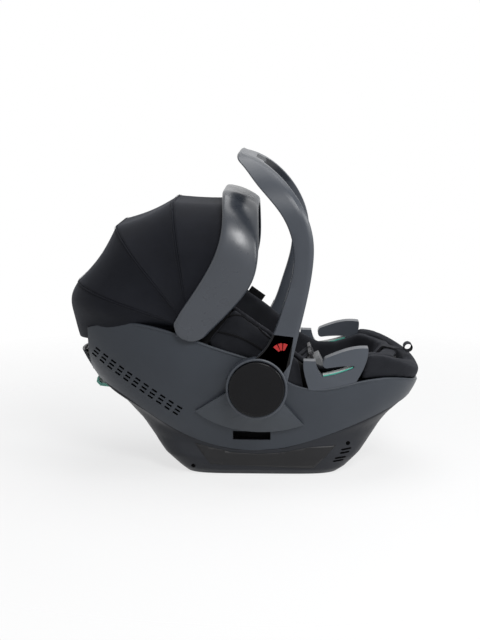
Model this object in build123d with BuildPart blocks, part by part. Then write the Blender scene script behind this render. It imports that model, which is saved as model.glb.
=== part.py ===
from build123d import *
import math
import os

# Infant car seat: a carrier shell on a base tub, with a carry handle, a folding canopy and a harness.
# Millimetres. X runs from head end to foot end, Y to the occupant's left, Z up from the floor.
# The hubs of the handle lie on the line x = 0, z = HUB_Z. Side pieces are drawn on the right, at -Y.

os.makedirs("parts", exist_ok=True)

# Body of the seat: height, head end, foot end and half width at each level
SEAT_HALF_WIDTH = 183.0
HULL_LEVELS = (
    (0.0, -105.0, 112.0, SEAT_HALF_WIDTH - 83.0),
    (10.0, -130.0, 150.0, SEAT_HALF_WIDTH - 67.0),
    (36.0, -168.0, 187.0, SEAT_HALF_WIDTH - 53.0),
    (90.0, -238.0, 244.0, SEAT_HALF_WIDTH - 33.0),
    (150.0, -297.0, 297.0, SEAT_HALF_WIDTH - 13.0),
    (220.0, -342.0, 318.0, SEAT_HALF_WIDTH - 2.0),
    (290.0, -366.0, 330.0, SEAT_HALF_WIDTH),
    (360.0, -372.0, 335.0, SEAT_HALF_WIDTH - 7.0),
)
INNER_LEVELS = HULL_LEVELS[2::2] + HULL_LEVELS[-1:]
HEAD_SQUARENESS = 2.3
FOOT_SQUARENESS = 2.9
HULL_STEPS = 8
END_INSET = 1.4

# Side view lines of the seat, as x and z
RIM_LINE = ((-385, 222), (-326, 275), (-250, 294), (-156, 280), (-60, 248), (10, 222),
            (66, 184), (119, 175), (200, 190), (256, 189), (340, 140))
LOWER_LINE = ((-320, 178), (-220, 128), (-143, 82), (-50, 55), (43, 57), (159, 93), (226, 120), (320, 160))
SEAT_LINE = ((-345, 345), (-262, 220), (-150, 142), (-30, 98), (50, 94), (110, 108),
             (160, 140), (205, 178), (330, 280))
COVER_TOP_LINE = ((-385, 240), (-300, 312), (-200, 345), (-100, 350), (-41, 326), (22, 282), (83, 231),
                  (120, 212), (160, 214), (204, 234), (262, 222), (300, 200), (350, 160))

# Walls and layers of the seat, counted in from the outside
SHELL_WALL = 3.0
BASE_WALL = 3.0
BASE_LAP = 8.0
COVER_INSET = 30.0
COVER_EDGE = 12.0
LINER_WALL = 14.0
LINER_FLOOR = 22.0
COVER_PAD = 7.0
LAYER_GAP = 0.4
NEST_GAP = 0.5
REACH = 700.0

# Carry handle and its hubs
HUB_Z = 185.5
HUB_RADIUS = 56.0
HUB_WALL = 5.0
HANDLE_CLEARANCE = 27.0
HANDLE_HALF_WIDTH = SEAT_HALF_WIDTH + HANDLE_CLEARANCE
HUB_PROUD = 2.0
HUB_FACE = HANDLE_HALF_WIDTH + HUB_PROUD
HUB_DEPTH = 24.0
BOSS_FACE = HUB_FACE - HUB_DEPTH
BOSS_RADIUS = 54.0
HANDLE_TOP = 607.0
HANDLE_BAND = 20.0
HANDLE_SPLIT = 11.0
HANDLE_CORNER = 120.0
HANDLE_FRONT_EDGE = ((55, HUB_Z + 9.5), (75, HUB_Z + 97.5), (99, HANDLE_TOP - 207), (100, HANDLE_TOP - 150),
                     (65, HANDLE_TOP - 69), (-5, HANDLE_TOP - 10), (-31, HANDLE_TOP))
HANDLE_REAR_EDGE = ((-38, HANDLE_TOP - 9), (-14, HANDLE_TOP - 51), (40, HANDLE_TOP - 112),
                    (65, HANDLE_TOP - 188), (47, HUB_Z + 150.5), (-6, HUB_Z + 53.5), (-30, HUB_Z + 42.5))
GRIP_LENGTH = 140.0
HANDLE_SWING = 118.0
BUTTON_TRAVEL = 4.0
BUTTON_PROUD = 6.0
BUTTON_WALL = 3.0
WEB_DEPTH = 9.0
WEB_FACE = HUB_FACE - WEB_DEPTH
WEB_THICKNESS = 3.0
BOLT_RADIUS = 8.0
BOLT_SHANK = 5.0
RUN_FIT = 0.05
CUT_MARGIN = 1.0

# Canopy, about its pivot line
PIVOT_X = -124.0
PIVOT_Z = 290.0
PIVOT_RADIUS = 5.0
CANOPY_RADIUS = 226.0
CANOPY_SETBACK = 11.0
CANOPY_HALF_WIDTH = SEAT_HALF_WIDTH - CANOPY_SETBACK
CANOPY_CORNER = 95.0
CLOTH = 2.0
CLOTH_START = 24.0
CLOTH_SAG = 2.0
RIB_RADIUS = 1.6
RIB_PITCH = 3.6
RIB_FRONT_ANGLE = 98.9
RIB_MID_ANGLE = 128.5
RIB_REAR_ANGLE = 161.0
HEM_ANGLE = 190.0
HEM_RADIUS = CANOPY_RADIUS - 8.0
HEM_HALF_WIDTH = CANOPY_HALF_WIDTH - 25.0
HEM_CORNER = HEM_HALF_WIDTH - 1.0
REAR_BULGE = (170.0, CANOPY_RADIUS + 9.0, CANOPY_HALF_WIDTH - 9.0, CANOPY_CORNER + 20.0)
REAR_RIM = (179.0, HEM_RADIUS + 8.0, HEM_HALF_WIDTH, HEM_CORNER)
BOW_CLOTH_ANGLE = 70.0
BOW_RADIUS = CANOPY_RADIUS + 24.0
BOW_HALF_WIDTH = CANOPY_HALF_WIDTH + 12.0
BOW_WALL = 4.0
BOW_CORNER = 100.0
BOW_REAR_EDGE = ((-151, 300), (-105, 368), (-80, 412), (-64, 459), (-66, 560))
BOW_FRONT_EDGE = ((-2, 560), (0, 463), (-11, 378), (-41, 335), (-93, 282))
BOW_END = (-124, 267)


def half_outline(head, foot, half_width, inset):
    """Half of the plan curve, from foot to head end, rounder at the head and squarer at the foot."""
    centre = (head + foot) / 2
    half_length = (foot - head) / 2 - inset * END_INSET
    points = []
    for step in range(HULL_STEPS + 1):
        along = math.cos(math.pi * step / HULL_STEPS)
        across = math.sin(math.pi * step / HULL_STEPS)
        power = 2 / (FOOT_SQUARENESS if along > 0 else HEAD_SQUARENESS)
        x = centre + half_length * math.copysign(abs(along) ** power, along)
        points.append((x, -(half_width - inset) * abs(across) ** power))
    return points


def plan_curve(points):
    """Smooth half curve that meets the middle plane squarely at both ends."""
    return Spline(*points, tangents=((0, -1), (0, 1)), tangent_scalars=(1, 1))


def half_band(outer, inner):
    """Right half of a wall of the seat body, between two insets."""
    with BuildPart() as block:
        for height, head, foot, half_width in HULL_LEVELS:
            outside = half_outline(head, foot, half_width, outer)
            inside = half_outline(head, foot, half_width, inner)
            with BuildSketch(Plane.XY.offset(height)):
                with BuildLine():
                    plan_curve(outside)
                    Line(outside[-1], inside[-1])
                    plan_curve(inside)
                    Line(inside[0], outside[0])
                make_face()
        loft()
    return block.part


def half_hull(inset):
    """Right half of the whole seat body as a block, drawn in by an inset."""
    with BuildPart() as block:
        for height, head, foot, half_width in HULL_LEVELS:
            outside = half_outline(head, foot, half_width, inset)
            with BuildSketch(Plane.XY.offset(height)):
                with BuildLine():
                    plan_curve(outside)
                    Line(outside[-1], outside[0])
                make_face()
        loft()
    return block.part


def facet_band(outer, inner):
    """Right half of a hidden layer, with straight facets in plan, between two insets."""
    with BuildPart() as block:
        for height, head, foot, half_width in INNER_LEVELS:
            outside = half_outline(head, foot, half_width, outer)
            inside = half_outline(head, foot, half_width, inner)
            with BuildSketch(Plane.XY.offset(height)):
                with BuildLine():
                    Polyline(*outside, *reversed(inside), close=True)
                make_face()
        loft(ruled=True)
    return block.part


def facet_hull(inset):
    """Right half of the space inside a hidden layer, with straight facets in plan."""
    with BuildPart() as block:
        for height, head, foot, half_width in INNER_LEVELS:
            with BuildSketch(Plane.XY.offset(height)):
                with BuildLine():
                    Polyline(*half_outline(head, foot, half_width, inset), close=True)
                make_face()
        loft(ruled=True)
    return block.part


def side_block(curve, shift, limit):
    """Block between a curved side view line and a level, right across the seat."""
    points = [(x, z + shift) for x, z in curve]
    with BuildPart() as block:
        with BuildSketch(Plane.XZ):
            with BuildLine():
                Spline(*points)
                Polyline(points[-1], (points[-1][0], limit), (points[0][0], limit), points[0])
            make_face()
        extrude(amount=REACH, both=True)
    return block.part


def above(curve, shift=0.0):
    """Everything above a curved side view line."""
    return side_block(curve, shift, REACH)


def below(curve, shift=0.0):
    """Everything below a curved side view line."""
    return side_block(curve, shift, -REACH)


def over(line, shift=0.0):
    """Everything above a side view line of straight runs."""
    return side_slab(line, shift, REACH)


def under(line, shift=0.0):
    """Everything below a side view line of straight runs."""
    return side_slab(line, -REACH, shift)


def side_slab(curve, low, high):
    """Slab that follows a side view line, right across the seat."""
    lower = [(x, z + low) for x, z in curve]
    upper = [(x, z + high) for x, z in curve]
    with BuildPart() as slab:
        with BuildSketch(Plane.XZ):
            with BuildLine():
                Polyline(*lower, *reversed(upper), close=True)
            make_face()
        extrude(amount=REACH, both=True)
    return slab.part


def side_polygon(*points, near=0.0, far=REACH):
    """Block with a straight-sided side outline on the right, from one depth to another."""
    with BuildPart() as block:
        with BuildSketch(Plane.XZ.offset(near)):
            with BuildLine():
                Polyline(*points, close=True)
            make_face()
        extrude(amount=far - near)
    return block.part


def cross_cylinder(x, z, radius, near, far):
    """Cylinder across the seat on the right, from one depth to another."""
    with BuildPart() as rod:
        with BuildSketch(Plane.XZ.offset(near)):
            with Locations((x, z)):
                Circle(radius)
        extrude(amount=far - near)
    return rod.part


def meet(first, *others):
    """What several blocks have in common."""
    with BuildPart() as common:
        add(first)
        for other in others:
            add(other, mode=Mode.INTERSECT)
    return common.part


def both_sides(part):
    """A right-hand piece joined with its mirrored twin."""
    with BuildPart() as pair:
        add(part)
        mirror(part, about=Plane.XZ)
    return pair.part


def save(part, name):
    """Write one piece under its own name."""
    part.label = name
    export_step(part, f"parts/{name}.step")


def save_pair(part, name):
    """Write a right-hand piece and its mirrored twin as two pieces."""
    with BuildPart() as twin:
        mirror(part, about=Plane.XZ)
    save(part, f"{name}_right")
    save(twin.part, f"{name}_left")


under_rim = below(RIM_LINE)
over_rim = above(RIM_LINE, LAYER_GAP)
under_cover_top = below(COVER_TOP_LINE)
bolt_line = cross_cylinder(0, HUB_Z, BOLT_SHANK + RUN_FIT, 0, REACH)

# Seat shell: the thin moulded bucket wall, with vent slots, lever window and adapter sockets
VENT_COLUMNS = 11
VENT_ROWS = 3
VENT_LENGTH = 11.0
VENT_HEIGHT = 4.0
VENT_STEP = 18.6
VENT_ROW_STEP = 8.0
VENT_START = (-300.0, 238.0)
VENT_SLOPE = -33.0
LEVER_HALF_WIDTH = 38.0
LEVER_LOW = 186.0
LEVER_HIGH = 224.0
LEVER_GAP = 0.8
SOCKET_LEFT = -45.0
SOCKET_RIGHT = 25.0
SOCKET_LOW = 74.0
SOCKET_HIGH = 92.0

vent_turn = math.radians(VENT_SLOPE)
shell_half = meet(half_band(0.0, SHELL_WALL), above(LOWER_LINE), under_rim)
with BuildPart() as shell_side:
    add(shell_half)
    add(bolt_line, mode=Mode.SUBTRACT)
    with BuildSketch(Plane.XZ):
        for column in range(VENT_COLUMNS):
            for row in range(VENT_ROWS):
                along = column * VENT_STEP
                down = row * VENT_ROW_STEP
                vent_x = VENT_START[0] + along * math.cos(vent_turn) + down * math.sin(vent_turn)
                vent_z = VENT_START[1] + along * math.sin(vent_turn) - down * math.cos(vent_turn)
                with Locations((vent_x, vent_z)):
                    Rectangle(VENT_LENGTH, VENT_HEIGHT, rotation=VENT_SLOPE)
        with Locations(((SOCKET_LEFT + SOCKET_RIGHT) / 2, (SOCKET_LOW + SOCKET_HIGH) / 2)):
            Rectangle(SOCKET_RIGHT - SOCKET_LEFT, SOCKET_HIGH - SOCKET_LOW)
    extrude(amount=REACH, mode=Mode.SUBTRACT)
    with BuildSketch(Plane.YZ):
        with Locations((0, (LEVER_LOW + LEVER_HIGH) / 2)):
            Rectangle(2 * LEVER_HALF_WIDTH, LEVER_HIGH - LEVER_LOW)
    extrude(amount=-REACH, mode=Mode.SUBTRACT)
seat_shell = both_sides(shell_side.part)
save(seat_shell, "seat_shell")

# Hub fairings: moulded caps on the shell's sides that carry the handle hubs
FAIRING_CENTRE_X = 8.0
FAIRING_HALF_LENGTH = 150.0
FAIRING_DEPTH = 92.5
FAIRING_LIP = SEAT_HALF_WIDTH - 23.0
FAIRING_ROOT = SEAT_HALF_WIDTH - 43.0
FAIRING_LEFT = (-116.0, HUB_Z - 54.5)
FAIRING_RIGHT = (86.0, HUB_Z - 78.5)
FAIRING_PEAK = HUB_Z + BOSS_RADIUS / 2

shell_clear = half_hull(-LAYER_GAP)
fairing_wedge = side_polygon((0, FAIRING_PEAK), FAIRING_LEFT, (FAIRING_LEFT[0], 0), (FAIRING_RIGHT[0], 0),
                             FAIRING_RIGHT)
with BuildPart() as fairing:
    with BuildSketch(Plane.XZ.offset(FAIRING_ROOT)):
        with Locations((FAIRING_CENTRE_X, HUB_Z)):
            Ellipse(FAIRING_HALF_LENGTH, FAIRING_DEPTH)
    extrude(amount=FAIRING_LIP - FAIRING_ROOT)
    with BuildSketch(Plane.XZ.offset(FAIRING_LIP)):
        with Locations((FAIRING_CENTRE_X, HUB_Z)):
            Ellipse(FAIRING_HALF_LENGTH, FAIRING_DEPTH)
    with BuildSketch(Plane.XZ.offset(BOSS_FACE)):
        with Locations((0, HUB_Z)):
            Circle(BOSS_RADIUS)
    loft()
    add(fairing_wedge, mode=Mode.INTERSECT)
    with BuildSketch(Plane.XZ.offset(FAIRING_ROOT)):
        with Locations((0, HUB_Z)):
            Circle(BOSS_RADIUS)
    extrude(amount=BOSS_FACE - FAIRING_ROOT)
    add(shell_clear, mode=Mode.SUBTRACT)
    add(bolt_line, mode=Mode.SUBTRACT)
save(both_sides(fairing.part), "hub_fairings")

# Seat pan: the curved floor inside the shell
FLOOR_DROP = COVER_PAD + LINER_FLOOR + 2 * LAYER_GAP
PAN_INSET = 12.0
PAN_ENDS = ((-285, 0), (250, 0), (250, REACH), (-285, REACH))
pan_half = meet(side_slab(SEAT_LINE, -FLOOR_DROP - SHELL_WALL, -FLOOR_DROP), facet_hull(PAN_INSET),
                side_polygon(*PAN_ENDS))
save(both_sides(pan_half), "seat_pan")

# Foam liner: a ring along the sides and a slab on the pan
LINER_INSIDE = COVER_INSET + LINER_WALL
FOAM_LOW = -FLOOR_DROP + LAYER_GAP
FOAM_HIGH = -COVER_PAD - LAYER_GAP
under_edge = under(COVER_TOP_LINE, -COVER_EDGE - LAYER_GAP)
liner_half = meet(facet_band(COVER_INSET, LINER_INSIDE), over(SEAT_LINE, FOAM_LOW), under_edge)
save(both_sides(liner_half), "foam_liner")
inside_liner = facet_hull(LINER_INSIDE + LAYER_GAP)
save(both_sides(meet(side_slab(SEAT_LINE, FOAM_LOW, FOAM_HIGH), inside_liner, under_edge)), "foam_floor")

# Seat cover: the lining of the sides, the padded seat panel and the edge roll over the liner
COVER_INSIDE = LINER_INSIDE + LAYER_GAP + COVER_PAD
lining_half = meet(facet_band(LINER_INSIDE + LAYER_GAP, COVER_INSIDE), over(SEAT_LINE, LAYER_GAP), under_edge)
save(both_sides(lining_half), "cover_lining")
save(both_sides(meet(side_slab(SEAT_LINE, -COVER_PAD, 0.0), inside_liner, under_edge)), "seat_cushion")
roll_half = meet(facet_band(COVER_INSET, COVER_INSIDE), side_slab(COVER_TOP_LINE, -COVER_EDGE, 0.0))
save(both_sides(roll_half), "cover_edge")

# Side bolsters: padded wings between the bow and the belt guides
BOLSTER_INSET = 8.0
BOLSTER_OUTLINE = ((-92, 268), (-41, 326), (22, 282), (78, 232), (92, 176), (58, 176), (0, 222), (-80, 240))
bolster = meet(half_band(BOLSTER_INSET, COVER_INSET - LAYER_GAP), side_polygon(*BOLSTER_OUTLINE))
save_pair(bolster, "side_bolster")

# Foot apron: padded cloth over the foot rim
APRON_INSET = 2.0
APRON_EDGE = ((207, 252), (190, 180), (190, 100), (400, 100), (400, 300), (207, 300))
apron = meet(half_band(APRON_INSET, COVER_INSET - LAYER_GAP), over_rim, under_cover_top,
             side_polygon(*APRON_EDGE))
save(both_sides(apron), "foot_apron")

# Lap belt guides on the rim, each a hook with an open slot and an inlay strip
GUIDE_DEPTH = 24.0
GUIDE_POST = ((107, 231), (109, 221), (114, 209), (121, 201))
GUIDE_SLOT_FLOOR = ((121, 201), (146, 206), (176, 216))
GUIDE_SLOT_END = ((176, 216), (178, 218.5), (175, 220.5))
GUIDE_ARM_UNDER = ((175, 220.5), (152, 220), (130, 217.5))
GUIDE_ARM_TIP = ((130, 217.5), (122, 220), (120.5, 228), (125, 235.5))
GUIDE_ARM_TOP = ((125, 235.5), (145, 243.5), (169, 250.5), (203.5, 252))
GUIDE_BACK = ((203.5, 252), (203.5, 243), (197, 218), (183, 190.8), (168, 162))
GUIDE_FRONT = ((97, 162), (92.5, 184.8), (86, 210), (85, 231.6))
INLAY_THICKNESS = 3.0
INLAY_SETBACK = 2.0
with BuildPart() as guide_blank:
    with BuildSketch(Plane.XZ):
        with BuildLine():
            Spline(*GUIDE_POST)
            Spline(*GUIDE_SLOT_FLOOR)
            ThreePointArc(*GUIDE_SLOT_END)
            Spline(*GUIDE_ARM_UNDER)
            Spline(*GUIDE_ARM_TIP)
            Spline(*GUIDE_ARM_TOP)
            Spline(*GUIDE_BACK)
            Line(GUIDE_BACK[-1], GUIDE_FRONT[0])
            Spline(*GUIDE_FRONT)
            Line(GUIDE_FRONT[-1], GUIDE_POST[0])
        make_face()
    extrude(amount=REACH)
save_pair(meet(half_band(0.0, GUIDE_DEPTH), guide_blank.part, over_rim), "belt_guide")
with BuildPart() as inlay_blank:
    with BuildSketch(Plane.XZ):
        with BuildLine():
            low = Spline(*((x, z + LAYER_GAP) for x, z in GUIDE_SLOT_FLOOR))
            high = Spline(*((x, z + INLAY_THICKNESS) for x, z in GUIDE_SLOT_FLOOR))
            Line(low @ 0, high @ 0)
            Line(low @ 1, high @ 1)
        make_face()
    extrude(amount=REACH)
inlay = meet(half_band(INLAY_SETBACK, GUIDE_DEPTH - INLAY_SETBACK), inlay_blank.part)
save(both_sides(inlay), "guide_inlays")

# Sewn tab on the wing of the left bolster
TAB_OUTLINE = ((-22, 313.3), (-16, 322), (12, 302), (6, 293.8))
TAB_Y = SEAT_HALF_WIDTH - 24.0
TAB_THICKNESS = 1.2
save(side_polygon(*TAB_OUTLINE, near=-TAB_Y - TAB_THICKNESS, far=-TAB_Y), "cover_tab")

# Base tub: the dark ring that the shell sits on, with a bottom plate
BASE_INSET = SHELL_WALL + NEST_GAP
BASE_VENTS = ((179, 49.5), (176, 43.0), (171, 34.5), (167, 28.0))
BASE_VENT_LENGTH = 22.0
BASE_VENT_HEIGHT = 3.4
tub_half = meet(half_band(BASE_INSET, BASE_INSET + BASE_WALL), below(LOWER_LINE, BASE_LAP))
with BuildPart() as tub_side:
    add(tub_half)
    with BuildSketch(Plane.XZ):
        with Locations(*BASE_VENTS):
            Rectangle(BASE_VENT_LENGTH, BASE_VENT_HEIGHT)
    extrude(amount=REACH, mode=Mode.SUBTRACT)
save(both_sides(tub_side.part), "base_tub")

PLATE_THICKNESS = 3.5
POST_RADIUS = 8.0
POST_PLACES = ((-76, -38), (-76, 38), (82, -45), (82, 45))
SCREW_RADIUS = 2.0
SCREW_HEAD = 5.0
SCREW_HEAD_HEIGHT = 2.4
SCREW_LENGTH = 18.0
DOCK_PLACES = (-42.0, 48.0)
DOCK_LENGTH = 24.0
DOCK_WIDTH = 110.0
DOCK_HEIGHT = 30.0
DOCK_WALL = 3.0
DOCK_BAR_RADIUS = 5.0
plate_outline = half_outline(*HULL_LEVELS[0][1:], BASE_INSET + BASE_WALL + 2 * LAYER_GAP)
posts_limit = under(SEAT_LINE, -FLOOR_DROP - SHELL_WALL - LAYER_GAP)
with BuildPart() as plate_half:
    with BuildSketch():
        with BuildLine():
            plan_curve(plate_outline)
            Line(plate_outline[-1], plate_outline[0])
        make_face()
    extrude(amount=PLATE_THICKNESS)
plate_blank = both_sides(plate_half.part)
with BuildPart() as posts:
    with BuildSketch():
        with Locations(*POST_PLACES):
            Circle(POST_RADIUS)
    extrude(amount=HUB_Z)
    add(posts_limit, mode=Mode.INTERSECT)
with BuildPart() as base_plate:
    add(plate_blank)
    add(posts.part)
    with Locations(*((x, 0) for x in DOCK_PLACES)):
        Box(DOCK_LENGTH + 2 * DOCK_WALL, DOCK_WIDTH + 2 * DOCK_WALL, DOCK_HEIGHT + DOCK_WALL,
            align=(Align.CENTER, Align.CENTER, Align.MIN))
    with Locations(*((x, 0) for x in DOCK_PLACES)):
        Box(DOCK_LENGTH, DOCK_WIDTH, DOCK_HEIGHT, align=(Align.CENTER, Align.CENTER, Align.MIN),
            mode=Mode.SUBTRACT)
    with Locations(*((x, 0, DOCK_HEIGHT / 2) for x in DOCK_PLACES)):
        Cylinder(DOCK_BAR_RADIUS + RUN_FIT, DOCK_WIDTH + 2 * DOCK_WALL, rotation=(90, 0, 0),
                 mode=Mode.SUBTRACT)
    with BuildSketch():
        with Locations(*POST_PLACES):
            Circle(SCREW_HEAD + RUN_FIT)
    extrude(amount=PLATE_THICKNESS, mode=Mode.SUBTRACT)
    with BuildSketch():
        with Locations(*POST_PLACES):
            Circle(SCREW_RADIUS + RUN_FIT)
    extrude(amount=PLATE_THICKNESS + SCREW_LENGTH, mode=Mode.SUBTRACT)
save(base_plate.part, "base_plate")

with BuildPart() as base_screws:
    with BuildSketch(Plane.XY.offset(PLATE_THICKNESS - SCREW_HEAD_HEIGHT)):
        with Locations(*POST_PLACES):
            Circle(SCREW_HEAD)
    extrude(amount=SCREW_HEAD_HEIGHT)
    with BuildSketch(Plane.XY.offset(PLATE_THICKNESS)):
        with Locations(*POST_PLACES):
            Circle(SCREW_RADIUS)
    extrude(amount=SCREW_LENGTH)
save(base_screws.part, "base_screws")

with BuildPart() as dock_bars:
    with Locations(*((x, 0, DOCK_HEIGHT / 2) for x in DOCK_PLACES)):
        Cylinder(DOCK_BAR_RADIUS, DOCK_WIDTH + 2 * DOCK_WALL, rotation=(90, 0, 0))
save(dock_bars.part, "dock_bars")

# Bare label plate on the right side of the base
LABEL_THICKNESS = 0.6
LABEL_GAP = 0.05
LABEL_OUTLINE = ((-118, 62), (-88, 22), (106, 14), (165, 66), (100, 58), (43, 47), (0, 44), (-50, 47))
save(meet(half_band(BASE_INSET - LABEL_THICKNESS, BASE_INSET - LABEL_GAP), side_polygon(*LABEL_OUTLINE)),
     "base_label")

# Shoulder belt hook on the back of the shell
HOOK_WIDTH = 46.0
HOOK_OUTLINE = ((-284, 146), (-309, 149), (-316, 157), (-314, 166), (-310, 166), (-311, 159), (-306, 155),
                (-284, 153))
with BuildPart() as hook_blank:
    with BuildSketch(Plane.XZ):
        with BuildLine():
            Polyline(*HOOK_OUTLINE, close=True)
        make_face()
    extrude(amount=HOOK_WIDTH / 2)
    add(half_hull(BASE_INSET - LAYER_GAP), mode=Mode.SUBTRACT)
save(both_sides(hook_blank.part), "shoulder_belt_hook")

# Carry handle: a flat blade in side view, bent into a U in front view
PLATE_OUTLINE = ((24, HUB_Z + 100.5), (66, HUB_Z + 95.5), (60, HUB_Z + 46.5), (38, HUB_Z + 14.5),
                 (-20, HUB_Z + 42.5))
PLATE_DEPTH = 0.8
PLATE_GAP = 0.1
GRIP_SWELL = 2.0
LEG_RADIUS = 4.0
LEG_CIRCLE = 28.0
LEG_ANGLES = (90, 210, 330)
LEG_WINDOW = 4.8
RECESS_RADIUS = HUB_RADIUS - HUB_WALL
ARM_FACE = HANDLE_HALF_WIDTH - HANDLE_BAND
WEB_BACK = WEB_FACE - WEB_THICKNESS


def arch(inset):
    """Points of the upright handle arch in the front view, drawn in by an inset."""
    side = HANDLE_HALF_WIDTH - inset
    top = HANDLE_TOP - inset
    return ((-side, 0), (-side, top), (side, top), (side, 0))


def arch_band(outer, inner):
    """Everything between two handle arches, right along the seat."""
    with BuildPart() as band:
        with BuildSketch(Plane.YZ):
            with BuildLine():
                FilletPolyline(*arch(outer), radius=HANDLE_CORNER - outer)
                Line((HANDLE_HALF_WIDTH - outer, 0), (-HANDLE_HALF_WIDTH + outer, 0))
            make_face()
            with BuildLine():
                FilletPolyline(*arch(inner), radius=HANDLE_CORNER - inner)
                Line((HANDLE_HALF_WIDTH - inner, 0), (-HANDLE_HALF_WIDTH + inner, 0))
            make_face(mode=Mode.SUBTRACT)
        extrude(amount=REACH, both=True)
    return band.part


with BuildPart() as blade:
    with BuildSketch(Plane.XZ):
        with BuildLine():
            Spline(*HANDLE_FRONT_EDGE)
            Line(HANDLE_FRONT_EDGE[-1], HANDLE_REAR_EDGE[0])
            Spline(*HANDLE_REAR_EDGE)
            Line(HANDLE_REAR_EDGE[-1], HANDLE_FRONT_EDGE[0])
        make_face()
    extrude(amount=REACH, both=True)

with BuildPart() as grip_zone:
    with Locations((0, 0, HANDLE_TOP)):
        Box(REACH, GRIP_LENGTH, HANDLE_CORNER)
with BuildPart() as grip_space:
    with Locations((0, 0, HANDLE_TOP)):
        Box(REACH, GRIP_LENGTH + 2 * PLATE_GAP, HANDLE_CORNER)

hub_outside = cross_cylinder(0, HUB_Z, HUB_RADIUS, ARM_FACE, HUB_FACE)
hub_clearance = both_sides(cross_cylinder(0, HUB_Z, HUB_RADIUS + PLATE_GAP, ARM_FACE - CUT_MARGIN, REACH))
web_windows = [(LEG_CIRCLE * math.cos(math.radians(a)), HUB_Z + LEG_CIRCLE * math.sin(math.radians(a)))
               for a in LEG_ANGLES]
with BuildPart() as hub_hollow:
    add(cross_cylinder(0, HUB_Z, RECESS_RADIUS, ARM_FACE - CUT_MARGIN, WEB_BACK))
    add(cross_cylinder(0, HUB_Z, RECESS_RADIUS, WEB_FACE, REACH))
    add(cross_cylinder(0, HUB_Z, BOLT_RADIUS + RUN_FIT, WEB_BACK, WEB_FACE))
    with BuildSketch(Plane.XZ.offset(WEB_BACK)):
        with Locations(*web_windows):
            Circle(LEG_WINDOW)
    extrude(amount=WEB_THICKNESS)
plate_pocket = side_polygon(*PLATE_OUTLINE, near=HANDLE_HALF_WIDTH - PLATE_DEPTH, far=REACH)

with BuildPart() as handle_frame:
    add(arch_band(0.0, HANDLE_SPLIT))
    add(blade.part, mode=Mode.INTERSECT)
    add(both_sides(plate_pocket), mode=Mode.SUBTRACT)
    add(both_sides(hub_outside))
    add(both_sides(hub_hollow.part), mode=Mode.SUBTRACT)
save(handle_frame.part, "handle_frame")

with BuildPart() as inner_covers:
    add(arch_band(HANDLE_SPLIT + RUN_FIT, HANDLE_BAND))
    add(blade.part, mode=Mode.INTERSECT)
    add(grip_space.part, mode=Mode.SUBTRACT)
    add(hub_clearance, mode=Mode.SUBTRACT)
save(inner_covers.part, "handle_inner_covers")

grip_band = arch_band(HANDLE_SPLIT + RUN_FIT, HANDLE_BAND + GRIP_SWELL)
save(meet(grip_band, blade.part, grip_zone.part), "handle_grip")

with BuildPart() as position_plate:
    add(side_polygon(*PLATE_OUTLINE, near=HANDLE_HALF_WIDTH - PLATE_DEPTH, far=HANDLE_HALF_WIDTH))
    add(blade.part, mode=Mode.INTERSECT)
    add(cross_cylinder(0, HUB_Z, HUB_RADIUS + PLATE_GAP, 0, REACH), mode=Mode.SUBTRACT)
save(both_sides(position_plate.part), "position_plates")

# Hub plates: fixed discs under the hubs, with the window that stops the handle's swing
RECESS_GAP = 1.5
HUB_SEAT_GAP = 0.3
RING_GAP = 1.0
PLATE_RADIUS = RECESS_RADIUS - RECESS_GAP
PLATE_BASE = 2.7
RING_INSIDE = 38.0
WINDOW_RADIUS = 46.0
DOG_HALF_WIDTH = 5.0
DOG_MARGIN = 1.5
hub_plate_face = BOSS_FACE + HUB_SEAT_GAP
ring_face = WEB_BACK - RING_GAP
dog_angle = math.degrees(math.asin(DOG_HALF_WIDTH / RING_INSIDE)) + DOG_MARGIN
with BuildPart() as hub_plate:
    add(cross_cylinder(0, HUB_Z, PLATE_RADIUS, hub_plate_face, ring_face))
    add(cross_cylinder(0, HUB_Z, RING_INSIDE, hub_plate_face + PLATE_BASE, ring_face), mode=Mode.SUBTRACT)
    with BuildSketch(Plane.XZ.offset(hub_plate_face + PLATE_BASE)):
        with BuildLine():
            window = CenterArc((0, HUB_Z), WINDOW_RADIUS, 90 - dog_angle, HANDLE_SWING + 2 * dog_angle)
            inside = CenterArc((0, HUB_Z), RING_INSIDE - CUT_MARGIN, 90 - dog_angle,
                               HANDLE_SWING + 2 * dog_angle)
            Line(window @ 0, inside @ 0)
            Line(window @ 1, inside @ 1)
        make_face()
    extrude(amount=ring_face - hub_plate_face - PLATE_BASE, mode=Mode.SUBTRACT)
    add(bolt_line, mode=Mode.SUBTRACT)
save(both_sides(hub_plate.part), "hub_plates")

# Pivot bolts with their nuts inside the shell
HEAD_RADIUS = 13.0
HEAD_HEIGHT = 3.0
NUT_RADIUS = 9.0
NUT_HEIGHT = 6.0
NUT_FACE = SEAT_HALF_WIDTH - 10.3
shoulder = hub_plate_face + PLATE_BASE
bolt_head = WEB_FACE + LAYER_GAP
with BuildPart() as pivot_bolt:
    add(cross_cylinder(0, HUB_Z, BOLT_SHANK, NUT_FACE - NUT_HEIGHT, shoulder))
    add(cross_cylinder(0, HUB_Z, BOLT_RADIUS, shoulder, bolt_head))
    add(cross_cylinder(0, HUB_Z, HEAD_RADIUS, bolt_head, bolt_head + HEAD_HEIGHT))
    with BuildSketch(Plane.XZ.offset(NUT_FACE - NUT_HEIGHT)):
        with Locations((0, HUB_Z)):
            RegularPolygon(NUT_RADIUS, 6)
    extrude(amount=NUT_HEIGHT)
save(both_sides(pivot_bolt.part), "pivot_bolts")

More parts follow.
